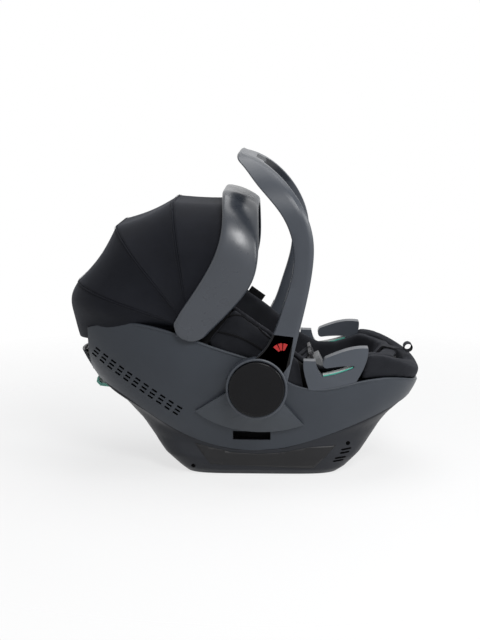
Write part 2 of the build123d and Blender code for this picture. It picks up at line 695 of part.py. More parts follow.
# Release buttons with their lock dogs and springs
BUTTON_GAP = 0.8
BUTTON_RADIUS = RECESS_RADIUS - BUTTON_GAP
BUTTON_FACE = HUB_FACE + BUTTON_PROUD
BUTTON_EDGE = 2.0
SPRING_WIRE = 1.2
SPRING_SMALL = 15.0
SPRING_LARGE = 22.0
DOG_THICKNESS = 3.0
DOG_REACH = 45.0
DOG_GAP = 1.5
DOG_CLEAR = 1.0
SPRING_GAP = 0.3
dog_face = WEB_BACK - DOG_GAP
skirt_back = WEB_FACE + BUTTON_TRAVEL + NEST_GAP
with BuildPart() as button:
    add(cross_cylinder(0, HUB_Z, BUTTON_RADIUS, skirt_back, BUTTON_FACE))
    fillet(button.faces().sort_by(Axis.Y)[0].edges(), radius=BUTTON_EDGE)
    add(cross_cylinder(0, HUB_Z, BUTTON_RADIUS - BUTTON_WALL, skirt_back, BUTTON_FACE - BUTTON_WALL),
        mode=Mode.SUBTRACT)
    with BuildSketch(Plane.XZ.offset(dog_face)):
        with Locations(*web_windows):
            Circle(LEG_RADIUS)
    extrude(amount=BUTTON_FACE - BUTTON_WALL - dog_face)
save_pair(button.part, "handle_button")

with BuildPart() as lock_dog:
    add(cross_cylinder(0, HUB_Z, RING_INSIDE - DOG_CLEAR, dog_face - DOG_THICKNESS, dog_face))
    with BuildSketch(Plane.XZ.offset(dog_face - DOG_THICKNESS)):
        with Locations((0, HUB_Z + DOG_REACH / 2)):
            Rectangle(2 * DOG_HALF_WIDTH, DOG_REACH)
    extrude(amount=DOG_THICKNESS)
    add(cross_cylinder(0, HUB_Z, BOLT_RADIUS + DOG_CLEAR, 0, REACH), mode=Mode.SUBTRACT)
save_pair(lock_dog.part, "lock_dog")

spring_low = WEB_FACE + SPRING_GAP
spring_high = BUTTON_FACE - BUTTON_WALL - SPRING_GAP
with BuildPart() as button_spring:
    with BuildSketch(Plane.XY):
        with BuildLine():
            Polyline((SPRING_LARGE, -spring_low), (SPRING_LARGE + SPRING_WIRE, -spring_low),
                     (SPRING_SMALL + SPRING_WIRE, -spring_high), (SPRING_SMALL, -spring_high), close=True)
        make_face()
    revolve(axis=Axis.Y)
spring_seated = button_spring.part.moved(Location((0, 0, HUB_Z)))
save_pair(spring_seated, "button_spring")

# Canopy: ribs, bow and cloth panels are arches in planes through the pivot line
RIB_EYE = 9.5
RIB_ROOT = 2.0
EYE_HALF = 1.4
MOUNT_THICKNESS = 3.8
BOSS_EYE = 11.0


def radial_plane(angle):
    """Plane through the pivot line, with local Y pointing away from it at a side view angle."""
    turn = math.radians(angle)
    return Plane(origin=(PIVOT_X, 0, PIVOT_Z), x_dir=(0, 1, 0), z_dir=(math.sin(turn), 0, -math.cos(turn)))


def cloth_section(angle, radius, half_width, corner, thickness=CLOTH):
    """Arch of cloth in one radial plane."""
    with BuildSketch(radial_plane(angle)) as section:
        with BuildLine():
            outside = FilletPolyline((-half_width, CLOTH_START), (-half_width, radius), (half_width, radius),
                                     (half_width, CLOTH_START), radius=corner)
            inside = FilletPolyline((-half_width + thickness, CLOTH_START),
                                    (-half_width + thickness, radius - thickness),
                                    (half_width - thickness, radius - thickness),
                                    (half_width - thickness, CLOTH_START), radius=corner - thickness)
            Line(outside @ 0, inside @ 0)
            Line(outside @ 1, inside @ 1)
        make_face()
    return section.sketch


def panel(first, last):
    """Cloth between two arches, drawn in a little half way."""
    middle_angle = (first[0] + last[0]) / 2
    chord = math.cos(math.radians((last[0] - first[0]) / 2))
    middle = [(a + b) / 2 for a, b in zip(first[1:], last[1:])]
    sections = [cloth_section(*first),
                cloth_section(middle_angle, middle[0] * chord - CLOTH_SAG, middle[1] - CLOTH_SAG / 2,
                              middle[2]),
                cloth_section(*last)]
    with BuildPart() as cloth:
        loft(sections)
    return cloth.part


def rib(angle, layer):
    """Wire arch with an eye at each end; the layers count in from the cloth."""
    centre = CANOPY_HALF_WIDTH - CLOTH - LAYER_GAP - RIB_RADIUS - layer * RIB_PITCH
    reach = CANOPY_RADIUS - CLOTH - LAYER_GAP - RIB_RADIUS
    start = PIVOT_RADIUS + RIB_ROOT
    with BuildPart() as wire:
        with BuildLine(radial_plane(angle)) as path:
            FilletPolyline((-centre, start), (-centre, reach), (centre, reach), (centre, start),
                           radius=CANOPY_CORNER - CLOTH - RIB_RADIUS)
        with BuildSketch(Plane(origin=path.line @ 0, z_dir=path.line % 0)):
            Circle(RIB_RADIUS)
        sweep()
    eye = both_sides(cross_cylinder(PIVOT_X, PIVOT_Z, RIB_EYE, centre - EYE_HALF, centre + EYE_HALF))
    bore = both_sides(cross_cylinder(PIVOT_X, PIVOT_Z, PIVOT_RADIUS + RUN_FIT, 0, REACH))
    with BuildPart() as whole:
        add(wire.part)
        add(eye)
        add(bore, mode=Mode.SUBTRACT)
    return whole.part


BOW_TUCK = 7.0
BOW_DROP = 8.0
CANOPY_ARCH = (CANOPY_RADIUS, CANOPY_HALF_WIDTH, CANOPY_CORNER)
BOW_ARCH = (BOW_RADIUS - BOW_DROP, BOW_HALF_WIDTH - BOW_TUCK, BOW_CORNER - BOW_TUCK)
PANEL_GAP = 0.5
save(rib(RIB_FRONT_ANGLE, 0), "canopy_rib_front")
save(rib(RIB_MID_ANGLE, 1), "canopy_rib_mid")
save(rib(RIB_REAR_ANGLE, 2), "canopy_rib_rear")
save(panel((BOW_CLOTH_ANGLE, *BOW_ARCH), (RIB_FRONT_ANGLE - PANEL_GAP, *CANOPY_ARCH)), "canopy_panel_front")
save(panel((RIB_FRONT_ANGLE, *CANOPY_ARCH), (RIB_MID_ANGLE - PANEL_GAP, *CANOPY_ARCH)), "canopy_panel_mid")
save(panel((RIB_MID_ANGLE, *CANOPY_ARCH), (RIB_REAR_ANGLE - PANEL_GAP, *CANOPY_ARCH)), "canopy_panel_back")
with BuildPart() as rear_panel:
    loft([cloth_section(RIB_REAR_ANGLE, *CANOPY_ARCH), cloth_section(*REAR_BULGE), cloth_section(*REAR_RIM),
          cloth_section(HEM_ANGLE, HEM_RADIUS, HEM_HALF_WIDTH, HEM_CORNER)])
save(rear_panel.part, "canopy_panel_rear")

with BuildPart() as bow_outline:
    with BuildSketch(Plane.XZ):
        with BuildLine():
            Spline(*BOW_REAR_EDGE)
            Line(BOW_REAR_EDGE[-1], BOW_FRONT_EDGE[0])
            Spline(*BOW_FRONT_EDGE)
            ThreePointArc(BOW_FRONT_EDGE[-1], BOW_END, BOW_REAR_EDGE[0])
        make_face()
    extrude(amount=REACH, both=True)


def bow_shell(outer, thickness):
    """Band turned about the pivot line, an inset from the outside of the bow."""
    half_width = BOW_HALF_WIDTH - outer
    radius = BOW_RADIUS - outer
    corner = BOW_CORNER - outer
    with BuildPart() as band:
        with BuildSketch(radial_plane(0)):
            with BuildLine():
                outside = FilletPolyline((-half_width, 0), (-half_width, radius), (half_width, radius),
                                         (half_width, 0), radius=corner)
                inside = FilletPolyline((-half_width + thickness, 0),
                                        (-half_width + thickness, radius - thickness),
                                        (half_width - thickness, radius - thickness),
                                        (half_width - thickness, 0), radius=corner - thickness)
                Line(outside @ 0, inside @ 0)
                Line(outside @ 1, inside @ 1)
            make_face()
        revolve(axis=Axis((PIVOT_X, 0, PIVOT_Z), (0, 1, 0)), revolution_arc=360)
        add(bow_outline.part, mode=Mode.INTERSECT)
    return band.part


EYE_START = CANOPY_HALF_WIDTH - CLOTH + LAYER_GAP
bow_eye = cross_cylinder(PIVOT_X, PIVOT_Z, BOSS_EYE, EYE_START, BOW_HALF_WIDTH)
pin_bore = cross_cylinder(PIVOT_X, PIVOT_Z, PIVOT_RADIUS + RUN_FIT, 0, REACH)
with BuildPart() as canopy_bow:
    add(bow_shell(0.0, BOW_WALL))
    add(both_sides(bow_eye))
    add(both_sides(pin_bore), mode=Mode.SUBTRACT)
save(canopy_bow.part, "canopy_bow")

LINING = 1.6
LINING_START = 32.0
lining_cut = both_sides(cross_cylinder(PIVOT_X, PIVOT_Z, LINING_START, 0, REACH))
with BuildPart() as bow_lining:
    add(bow_shell(BOW_WALL + LAYER_GAP, LINING))
    add(lining_cut, mode=Mode.SUBTRACT)
save(bow_lining.part, "bow_lining")

# Canopy mounts: brackets inside the rim with the pivot pins
MOUNT_LOW = 236.0
MOUNT_HALF_LENGTH = 16.0
MOUNT_FOOT = 22.0
PIN_PROUD = 1.0
mount_face = CANOPY_HALF_WIDTH - CLOTH - LAYER_GAP - 3 * RIB_PITCH - RIB_RADIUS + EYE_HALF
inside_shell = half_hull(SHELL_WALL + LAYER_GAP)
foot_block = side_polygon((PIVOT_X - MOUNT_HALF_LENGTH, MOUNT_LOW), (PIVOT_X + MOUNT_HALF_LENGTH, MOUNT_LOW),
                          (PIVOT_X + MOUNT_HALF_LENGTH, MOUNT_LOW + MOUNT_FOOT),
                          (PIVOT_X - MOUNT_HALF_LENGTH, MOUNT_LOW + MOUNT_FOOT),
                          near=mount_face - MOUNT_THICKNESS)
with BuildPart() as mount:
    add(foot_block)
    add(inside_shell, mode=Mode.INTERSECT)
    with BuildSketch(Plane.XZ.offset(mount_face - MOUNT_THICKNESS)):
        with Locations((PIVOT_X, (MOUNT_LOW + PIVOT_Z) / 2)):
            Rectangle(2 * MOUNT_HALF_LENGTH, PIVOT_Z - MOUNT_LOW)
        with Locations((PIVOT_X, PIVOT_Z)):
            Circle(MOUNT_HALF_LENGTH)
    extrude(amount=MOUNT_THICKNESS)
    add(cross_cylinder(PIVOT_X, PIVOT_Z, PIVOT_RADIUS, mount_face - MOUNT_THICKNESS,
                       BOW_HALF_WIDTH + PIN_PROUD))
save(both_sides(mount.part), "canopy_mounts")

# Seat pad: a crowned cushion on the seat panel, with a cross channel
PAD_STATIONS = ((-90, 134, 119), (-68, 134, 103), (-30, 123, 95), (4, 118, 93), (14, 114, 93),
                (24, 118, 93), (60, 119, 97), (84, 116, 113))
PAD_CROWN = 7.0
PAD_DEPTH = 45.0
over_seat = over(SEAT_LINE, LAYER_GAP)
with BuildPart() as seat_pad:
    for x, top, setback in PAD_STATIONS:
        half_width = SEAT_HALF_WIDTH - setback
        with BuildSketch(Plane.YZ.offset(x)):
            with BuildLine():
                Polyline((-half_width, top - PAD_CROWN), (-half_width, top - PAD_DEPTH),
                         (half_width, top - PAD_DEPTH), (half_width, top - PAD_CROWN))
                ThreePointArc((-half_width, top - PAD_CROWN), (0, top), (half_width, top - PAD_CROWN))
            make_face()
    loft(ruled=True)
    add(over_seat, mode=Mode.INTERSECT)
save(seat_pad.part, "seat_pad")

# Headrest: a core that slides along the back, with a padded horseshoe and a release bar
HEAD_TOP_X = -195.0
HEAD_LOW_X = -104.0
HEAD_TOP_HALF = SEAT_HALF_WIDTH - 125.0
HEAD_LOW_HALF = SEAT_HALF_WIDTH - 95.0
HEAD_WING = 18.0
HEAD_CORE = 5.0
HEAD_PAD = 20.0
HEAD_HEIGHT = 76.0
HEAD_GAP = 0.6


def head_plan(inset):
    """Tapered plan of the headrest, drawn in at the sides."""
    with BuildPart() as plan:
        with BuildSketch():
            with BuildLine():
                Polyline((HEAD_TOP_X, -HEAD_TOP_HALF + inset), (HEAD_LOW_X, -HEAD_LOW_HALF + inset),
                         (HEAD_LOW_X, HEAD_LOW_HALF - inset), (HEAD_TOP_X, HEAD_TOP_HALF - inset), close=True)
            make_face()
        extrude(amount=REACH)
    return plan.part


head_pad_low = HEAD_GAP + HEAD_CORE + LAYER_GAP
save(meet(side_slab(SEAT_LINE, HEAD_GAP, HEAD_GAP + HEAD_CORE), head_plan(0.0)), "headrest_core")
head_block = meet(side_slab(SEAT_LINE, head_pad_low, HEAD_HEIGHT), head_plan(0.0))
head_hollow = meet(side_slab(SEAT_LINE, head_pad_low + HEAD_PAD, REACH), head_plan(HEAD_WING))
with BuildPart() as headrest_pad:
    add(head_block)
    add(head_hollow, mode=Mode.SUBTRACT)
save(headrest_pad.part, "headrest_pad")

# Harness: shoulder straps with pads, tongues, crotch strap and buckle
STRAP_WIDTH = 36.0
STRAP_THICKNESS = 1.6
STRAP_Y = 30.0
STRAP_PATH = ((-98, 124), (-95, 148), (-50, 152), (40, 172), (84, 206), (98, 218))
STRAP_BENDS = (8.0, 30.0, 60.0, 30.0)
STRAP_PAD_WIDTH = 54.0
STRAP_PAD_THICKNESS = 13.0
STRAP_PAD_START = 0.14
STRAP_PAD_END = 0.86
BUCKLE_CENTRE = (118.0, 185.0)
BUCKLE_LEAN = 27.0
BUCKLE_WIDTH = 62.0
BUCKLE_LENGTH = 50.0
BUCKLE_THICKNESS = 24.0
BUCKLE_BUTTON_WIDTH = 26.0
BUCKLE_BUTTON_LENGTH = 24.0
BUCKLE_BUTTON_DEPTH = 7.0
BUCKLE_POCKET = 12.0
BUCKLE_EDGE = 5.0
BUTTON_STAND = 1.0
BUTTON_CORNER = 2.0
TONGUE_WIDTH = 18.0
TONGUE_THICKNESS = 2.4
TONGUE_DEPTH = 16.0
TONGUE_HEAD_LENGTH = 18.0
TONGUE_HEAD_THICKNESS = 5.0
TONGUE_HEAD_MARGIN = 10.0
TONGUE_CORNER = 3.0
TONGUE_SLOT = 5.6
TONGUE_HALF_GAP = 2.0
TONGUE_ROOT = 7.0
TONGUE_TIP_GAP = 1.0
SLOT_GAP = 0.4
CROTCH_WIDTH = 34.0
CROTCH_PAD_WIDTH = 56.0
CROTCH_PAD_THICKNESS = 12.0
CROTCH_PAD_LOW = 8.0
CROTCH_PAD_HIGH = 36.0
CROTCH_FOOT = (118.0, 112.6)

lean = math.radians(BUCKLE_LEAN)
buckle_plane = Plane(origin=(BUCKLE_CENTRE[0], 0, BUCKLE_CENTRE[1]), x_dir=(0, 1, 0),
                     z_dir=(math.cos(lean), 0, math.sin(lean)))
mouth_plane = buckle_plane.offset(-(TONGUE_THICKNESS / 2 + SLOT_GAP))
with BuildPart() as buckle_body:
    with BuildSketch(buckle_plane.offset(-BUCKLE_THICKNESS / 2)):
        RectangleRounded(BUCKLE_WIDTH, BUCKLE_LENGTH, BUCKLE_EDGE)
    extrude(amount=BUCKLE_THICKNESS)
    with BuildSketch(buckle_plane.offset(BUCKLE_THICKNESS / 2 - BUCKLE_POCKET)):
        with Locations((0, -BUCKLE_LENGTH / 2 + BUCKLE_BUTTON_LENGTH / 2 + BUCKLE_EDGE)):
            Rectangle(BUCKLE_BUTTON_WIDTH + 2 * SLOT_GAP, BUCKLE_BUTTON_LENGTH + 2 * SLOT_GAP)
    extrude(amount=BUCKLE_POCKET, mode=Mode.SUBTRACT)
    with BuildSketch(mouth_plane):
        with Locations((0, BUCKLE_LENGTH / 2 - TONGUE_DEPTH / 2)):
            Rectangle(BUCKLE_WIDTH - 2 * BUCKLE_EDGE, TONGUE_DEPTH + SLOT_GAP)
    extrude(amount=TONGUE_THICKNESS + 2 * SLOT_GAP, mode=Mode.SUBTRACT)
save(buckle_body.part, "buckle_body")

with BuildPart() as buckle_button:
    with BuildSketch(buckle_plane.offset(BUCKLE_THICKNESS / 2 + BUTTON_STAND - BUCKLE_BUTTON_DEPTH)):
        with Locations((0, -BUCKLE_LENGTH / 2 + BUCKLE_BUTTON_LENGTH / 2 + BUCKLE_EDGE)):
            RectangleRounded(BUCKLE_BUTTON_WIDTH, BUCKLE_BUTTON_LENGTH, BUTTON_CORNER)
    extrude(amount=BUCKLE_BUTTON_DEPTH)
save(buckle_button.part, "buckle_button")

head_centre = BUCKLE_LENGTH / 2 + SLOT_GAP + TONGUE_HEAD_LENGTH / 2
tongue_y = TONGUE_WIDTH / 2 + TONGUE_HALF_GAP
tongue_length = TONGUE_DEPTH - TONGUE_TIP_GAP + TONGUE_ROOT
tongue_centre = BUCKLE_LENGTH / 2 + TONGUE_ROOT - tongue_length / 2
with BuildPart() as tongues:
    with BuildSketch(buckle_plane.offset(-TONGUE_HEAD_THICKNESS / 2)):
        with Locations((-STRAP_Y, head_centre), (STRAP_Y, head_centre)):
            RectangleRounded(STRAP_WIDTH + TONGUE_HEAD_MARGIN, TONGUE_HEAD_LENGTH, TONGUE_CORNER)
        with Locations((-STRAP_Y, head_centre), (STRAP_Y, head_centre)):
            Rectangle(STRAP_WIDTH + 2 * SLOT_GAP, TONGUE_SLOT, mode=Mode.SUBTRACT)
    extrude(amount=TONGUE_HEAD_THICKNESS)
    with BuildSketch(buckle_plane.offset(-TONGUE_THICKNESS / 2)):
        with Locations((-tongue_y, tongue_centre), (tongue_y, tongue_centre)):
            Rectangle(TONGUE_WIDTH, tongue_length)
    extrude(amount=TONGUE_THICKNESS)
save(tongues.part, "buckle_tongues")


def strap(path, bends, width, thickness, y):
    """Webbing that follows a side view path."""
    with BuildPart() as web:
        with BuildSketch(Plane.XZ.offset(-y - width / 2)):
            with BuildLine():
                FilletPolyline(*path, radius=bends)
            trace(line_width=thickness)
        extrude(amount=width)
    return web.part


right_strap = strap(STRAP_PATH, STRAP_BENDS, STRAP_WIDTH, STRAP_THICKNESS, -STRAP_Y)
save(both_sides(right_strap), "shoulder_straps")

pad_from = STRAP_PATH[2]
pad_to = STRAP_PATH[3]
pad_path = [(pad_from[0] + (pad_to[0] - pad_from[0]) * share, pad_from[1] + (pad_to[1] - pad_from[1]) * share)
            for share in (STRAP_PAD_START, STRAP_PAD_END)]
with BuildPart() as strap_pad:
    for width, thickness, mode in (
        (STRAP_PAD_WIDTH, STRAP_PAD_THICKNESS, Mode.ADD),
        (STRAP_WIDTH + 2 * SLOT_GAP, STRAP_THICKNESS + 2 * SLOT_GAP, Mode.SUBTRACT),
    ):
        with BuildSketch(Plane.XZ.offset(STRAP_Y - width / 2)):
            with BuildLine():
                Line(*pad_path)
            trace(line_width=thickness)
        extrude(amount=width, mode=mode)
save(both_sides(strap_pad.part), "harness_pads")

crotch_top = buckle_plane.from_local_coords((0, -BUCKLE_LENGTH / 2 - 2 * SLOT_GAP, 0))
crotch_path = (CROTCH_FOOT, (crotch_top.X, crotch_top.Z))
with BuildPart() as crotch_strap:
    with BuildSketch(Plane.XZ):
        with BuildLine():
            Line(*crotch_path)
        trace(line_width=STRAP_THICKNESS)
    extrude(amount=CROTCH_WIDTH / 2, both=True)
    add(over_seat, mode=Mode.INTERSECT)
save(crotch_strap.part, "crotch_strap")

crotch_zone = side_slab(SEAT_LINE, CROTCH_PAD_LOW, CROTCH_PAD_HIGH)
with BuildPart() as crotch_pad:
    for width, thickness, mode in (
        (CROTCH_PAD_WIDTH, CROTCH_PAD_THICKNESS, Mode.ADD),
        (CROTCH_WIDTH + 2 * SLOT_GAP, STRAP_THICKNESS + 2 * SLOT_GAP, Mode.SUBTRACT),
    ):
        with BuildSketch(Plane.XZ):
            with BuildLine():
                Line(*crotch_path)
            trace(line_width=thickness)
        extrude(amount=width / 2, both=True, mode=mode)
    add(crotch_zone, mode=Mode.INTERSECT)
save(crotch_pad.part, "crotch_pad")

# Harness adjuster at the foot of the seat, with its strap and pull loop
ADJUSTER_X = 186.0
ADJUSTER_Z = 166.0
ADJUSTER_SLOPE = 39.0
ADJUSTER_LENGTH = 34.0
ADJUSTER_WIDTH = 44.0
ADJUSTER_HEIGHT = 11.0
ADJUSTER_BUTTON = 20.0
ADJUSTER_TRAVEL = 3.0
ADJUSTER_FLOOR = 3.0
ADJUSTER_CORNER = 4.0
PULL_PATH = ((203, 188), (220, 206), (240, 229), (262.3, 224.4), (284, 222.5))
PULL_BENDS = (20.0, 8.0, 20.0)
PULL_WIDTH = 24.0
LOOP_RADIUS = 7.0
slope = math.radians(ADJUSTER_SLOPE)
adjuster_plane = Plane(origin=(ADJUSTER_X, 0, ADJUSTER_Z), x_dir=(math.cos(slope), 0, math.sin(slope)),
                       z_dir=(-math.sin(slope), 0, math.cos(slope)))
with BuildPart() as adjuster_housing:
    with BuildSketch(adjuster_plane.offset(-ADJUSTER_HEIGHT)):
        RectangleRounded(ADJUSTER_LENGTH, ADJUSTER_WIDTH, ADJUSTER_CORNER)
    extrude(amount=2 * ADJUSTER_HEIGHT)
    add(over_seat, mode=Mode.INTERSECT)
    with BuildSketch(adjuster_plane.offset(ADJUSTER_HEIGHT)):
        Rectangle(ADJUSTER_BUTTON + 2 * SLOT_GAP, ADJUSTER_BUTTON + 2 * SLOT_GAP)
    extrude(amount=-ADJUSTER_HEIGHT + ADJUSTER_FLOOR, mode=Mode.SUBTRACT)
save(adjuster_housing.part, "adjuster_housing")

button_foot = ADJUSTER_FLOOR + ADJUSTER_TRAVEL + SLOT_GAP
with BuildPart() as adjuster_button:
    with BuildSketch(adjuster_plane.offset(button_foot)):
        RectangleRounded(ADJUSTER_BUTTON, ADJUSTER_BUTTON, BUTTON_CORNER)
    extrude(amount=ADJUSTER_HEIGHT + BUTTON_STAND - button_foot)
save(adjuster_button.part, "adjuster_button")

loop_centre = (PULL_PATH[-1][0] + LOOP_RADIUS, PULL_PATH[-1][1] + LOOP_RADIUS / 2)
with BuildPart() as adjuster_strap:
    add(strap(PULL_PATH, PULL_BENDS, PULL_WIDTH, STRAP_THICKNESS, 0.0))
    with BuildSketch(Plane.XZ):
        with Locations(loop_centre):
            Circle(LOOP_RADIUS + STRAP_THICKNESS)
            Circle(LOOP_RADIUS, mode=Mode.SUBTRACT)
    extrude(amount=PULL_WIDTH / 2, both=True)
save(adjuster_strap.part, "adjuster_strap")

# Harness yoke under the pan
YOKE_X = -48.0
YOKE_LENGTH = 30.0
YOKE_HALF_WIDTH = 35.0
YOKE_THICKNESS = 3.0
yoke_top = -FLOOR_DROP - SHELL_WALL - LAYER_GAP
with BuildPart() as yoke_plan:
    with Locations((YOKE_X, 0, 0)):
        Box(YOKE_LENGTH, 2 * YOKE_HALF_WIDTH, REACH)
save(meet(side_slab(SEAT_LINE, yoke_top - YOKE_THICKNESS, yoke_top), yoke_plan.part), "harness_yoke")

# Release lever in the head end of the shell, and the adapter latches that it draws up
LEVER_PIN = 2.5
LEVER_PIN_INSET = 7.5
LEVER_PIN_DROP = 1.0
LATCH_LENGTH = 24.0
LATCH_HEIGHT = 15.0
LATCH_LOW = 97.0
LATCH_NEAR = SEAT_HALF_WIDTH - 47.0
LATCH_FAR = SEAT_HALF_WIDTH - 34.6
lever_level = HULL_LEVELS[5]
lever_pin_x = lever_level[1] + LEVER_PIN_INSET
lever_pin_z = lever_level[0] - LEVER_PIN_DROP
with BuildPart() as lever_zone:
    with BuildSketch(Plane.YZ):
        with Locations((0, (LEVER_LOW + LEVER_HIGH) / 2)):
            Rectangle(2 * (LEVER_HALF_WIDTH - LEVER_GAP), LEVER_HIGH - LEVER_LOW - 2 * LEVER_GAP)
    extrude(amount=-REACH)
lever_face = both_sides(meet(half_band(0.0, SHELL_WALL), lever_zone.part))
lever_pin = both_sides(cross_cylinder(lever_pin_x, lever_pin_z, LEVER_PIN, 0, LEVER_HALF_WIDTH / 2))
with BuildPart() as release_lever:
    add(lever_face)
    add(lever_pin)
save(release_lever.part, "release_lever")

with BuildPart() as latch:
    with BuildSketch(Plane.XZ.offset(LATCH_NEAR)):
        with Locations(((SOCKET_LEFT + SOCKET_RIGHT) / 2, LATCH_LOW + LATCH_HEIGHT / 2)):
            Rectangle(LATCH_LENGTH, LATCH_HEIGHT)
    extrude(amount=LATCH_FAR - LATCH_NEAR)
save(both_sides(latch.part), "adapter_latches")
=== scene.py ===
import bmesh
import bpy
import math
import numpy as np
from contextlib import contextmanager
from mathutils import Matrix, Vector
from mathutils.bvhtree import BVHTree


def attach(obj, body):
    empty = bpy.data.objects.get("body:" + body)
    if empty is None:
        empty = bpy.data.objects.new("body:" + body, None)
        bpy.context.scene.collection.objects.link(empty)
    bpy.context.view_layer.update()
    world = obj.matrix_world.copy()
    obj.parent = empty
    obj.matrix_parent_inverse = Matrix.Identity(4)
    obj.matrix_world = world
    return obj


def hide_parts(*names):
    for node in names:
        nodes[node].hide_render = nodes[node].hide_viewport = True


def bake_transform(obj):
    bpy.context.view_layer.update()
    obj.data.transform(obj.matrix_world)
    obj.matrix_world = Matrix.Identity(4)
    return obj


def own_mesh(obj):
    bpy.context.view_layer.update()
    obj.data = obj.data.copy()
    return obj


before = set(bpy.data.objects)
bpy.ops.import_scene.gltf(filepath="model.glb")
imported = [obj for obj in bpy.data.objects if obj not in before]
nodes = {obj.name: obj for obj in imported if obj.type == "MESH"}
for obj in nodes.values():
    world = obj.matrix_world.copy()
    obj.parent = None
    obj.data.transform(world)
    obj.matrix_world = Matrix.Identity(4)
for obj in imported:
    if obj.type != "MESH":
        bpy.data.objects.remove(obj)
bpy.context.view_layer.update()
scene = bpy.context.scene
scene.view_settings.view_transform = "Standard"

# Camera at the height of a person who looks along a table at the seat's right side.
# The long side of the sensor stands upright, as the picture does.
LOOK_AT = Vector((-0.0361, 0.0, 0.2767))
CAMERA_DISTANCE = 2.6
CAMERA_AZIMUTH = math.radians(1.7)
CAMERA_HEIGHT = math.radians(9.5)
CAMERA_LENS = 75.0
CAMERA_SENSOR = 36.0


def arranged(thing, **settings):
    """The same thing with some of its settings changed."""
    for setting, value in settings.items():
        setattr(thing, setting, value)
    return thing


def placed(name, data):
    """Object with that name and data, put into the scene."""
    obj = bpy.data.objects.new(name, data)
    scene.collection.objects.link(obj)
    return obj


def aimed(obj, place, way):
    """Puts a camera or a lamp at a place and turns it to look one way."""
    return arranged(obj, location=place, rotation_mode="QUATERNION",
                    rotation_quaternion=way.to_track_quat("-Z", "Y"))


camera_data = arranged(bpy.data.cameras.new("camera"), lens=CAMERA_LENS, sensor_width=CAMERA_SENSOR)
back = Vector((math.sin(CAMERA_AZIMUTH) * math.cos(CAMERA_HEIGHT),
               -math.cos(CAMERA_AZIMUTH) * math.cos(CAMERA_HEIGHT), math.sin(CAMERA_HEIGHT)))
scene.camera = aimed(placed("camera", camera_data), LOOK_AT + back * CAMERA_DISTANCE, -back)

# Studio: a pale round floor that fades into a white background, a soft lamp overhead, a key lamp high at the
# front right, a small bright lamp beside the camera and a weak fill lamp at the left.
FLOOR_RADIUS = 2.4
FLOOR_SIDES = 64
FLOOR_Z = -0.0006
FLOOR_COLOUR = (0.93, 0.93, 0.93)
FLOOR_FADE = (0.35, 1.5)
FLOOR_GLOW = 0.72
AMBIENT = (0.125, 0.130, 0.145)
WHITE = (1.0, 1.0, 1.0)
LAMPS = (("overhead_lamp", (0.1, 0.3, 2.2), 1.6, 20.0), ("key_lamp", (2.0, -1.0, 1.2), 0.9, 25.0),
         ("front_lamp", (0.66, -1.95, 1.72), 0.75, 28.0), ("fill_lamp", (-2.0, -1.0, 1.2), 0.9, 1.0))
POINT_MERGE = 0.00004
SLIVER = 0.00002
for lamp_name, place, side, power in LAMPS:
    lamp_data = arranged(bpy.data.lights.new(lamp_name, "AREA"), size=side, energy=power)
    aimed(placed(lamp_name, lamp_data), place, LOOK_AT - Vector(place))


def feed(tree, node, inputs):
    """Gives a node's inputs their values, or links from the outputs of other nodes; colours are solid."""
    for name, value in inputs.items():
        socket = node.inputs[name]
        if isinstance(value, bpy.types.NodeSocket):
            tree.links.new(value, socket)
        else:
            socket.default_value = (*value, 1.0) if socket.type == "RGBA" else value
    return node


def add_node(tree, kind, inputs=None, **settings):
    """New node with its settings and inputs."""
    return feed(tree, arranged(tree.nodes.new(kind), **settings), inputs or {})


def maths(tree, operation, *values):
    """Result of a sum on values and outputs."""
    return add_node(tree, "ShaderNodeMath", dict(enumerate(values)), operation=operation).outputs[0]


def turns(count, shift=0.0):
    """Even angles round a full turn."""
    return [math.tau * (i + shift) / count for i in range(count)]


def direct_sight(tree):
    """Factor that is 1 for rays seen by the camera, in gloss or through glass."""
    rays = add_node(tree, "ShaderNodeLightPath").outputs
    seen = maths(tree, "MAXIMUM", rays["Is Camera Ray"], rays["Is Glossy Ray"])
    return maths(tree, "MAXIMUM", seen, rays["Is Transmission Ray"])


def new_material(name):
    """New node material, with its tree, its shader and the places on the object."""
    material = bpy.data.materials.new(name)
    material.use_nodes = True
    tree = material.node_tree
    return material, tree, tree.nodes["Principled BSDF"], add_node(tree, "ShaderNodeTexCoord").outputs["Object"]


@contextmanager
def edited(mesh, smooth=True):
    """Opens a mesh for changes, then shades its faces and writes it back."""
    work = bmesh.new()
    work.from_mesh(mesh)
    yield work
    for face in work.faces:
        face.smooth = smooth
    work.to_mesh(mesh)
    work.free()


def new_mesh(name, points, faces, edges=()):
    """Mesh from points in metres."""
    mesh = bpy.data.meshes.new(name)
    mesh.from_pydata([tuple(p) for p in points], edges, faces)
    return mesh


def mesh_object(name, points, faces, smooth=True):
    """Mesh object from points in metres, with its faces pointing outwards."""
    mesh = new_mesh(name, points, faces)
    with edited(mesh, smooth) as work:
        bmesh.ops.remove_doubles(work, verts=work.verts, dist=POINT_MERGE)
        bmesh.ops.dissolve_degenerate(work, edges=work.edges, dist=SLIVER)
        bmesh.ops.recalc_face_normals(work, faces=work.faces)
    return placed(name, mesh)


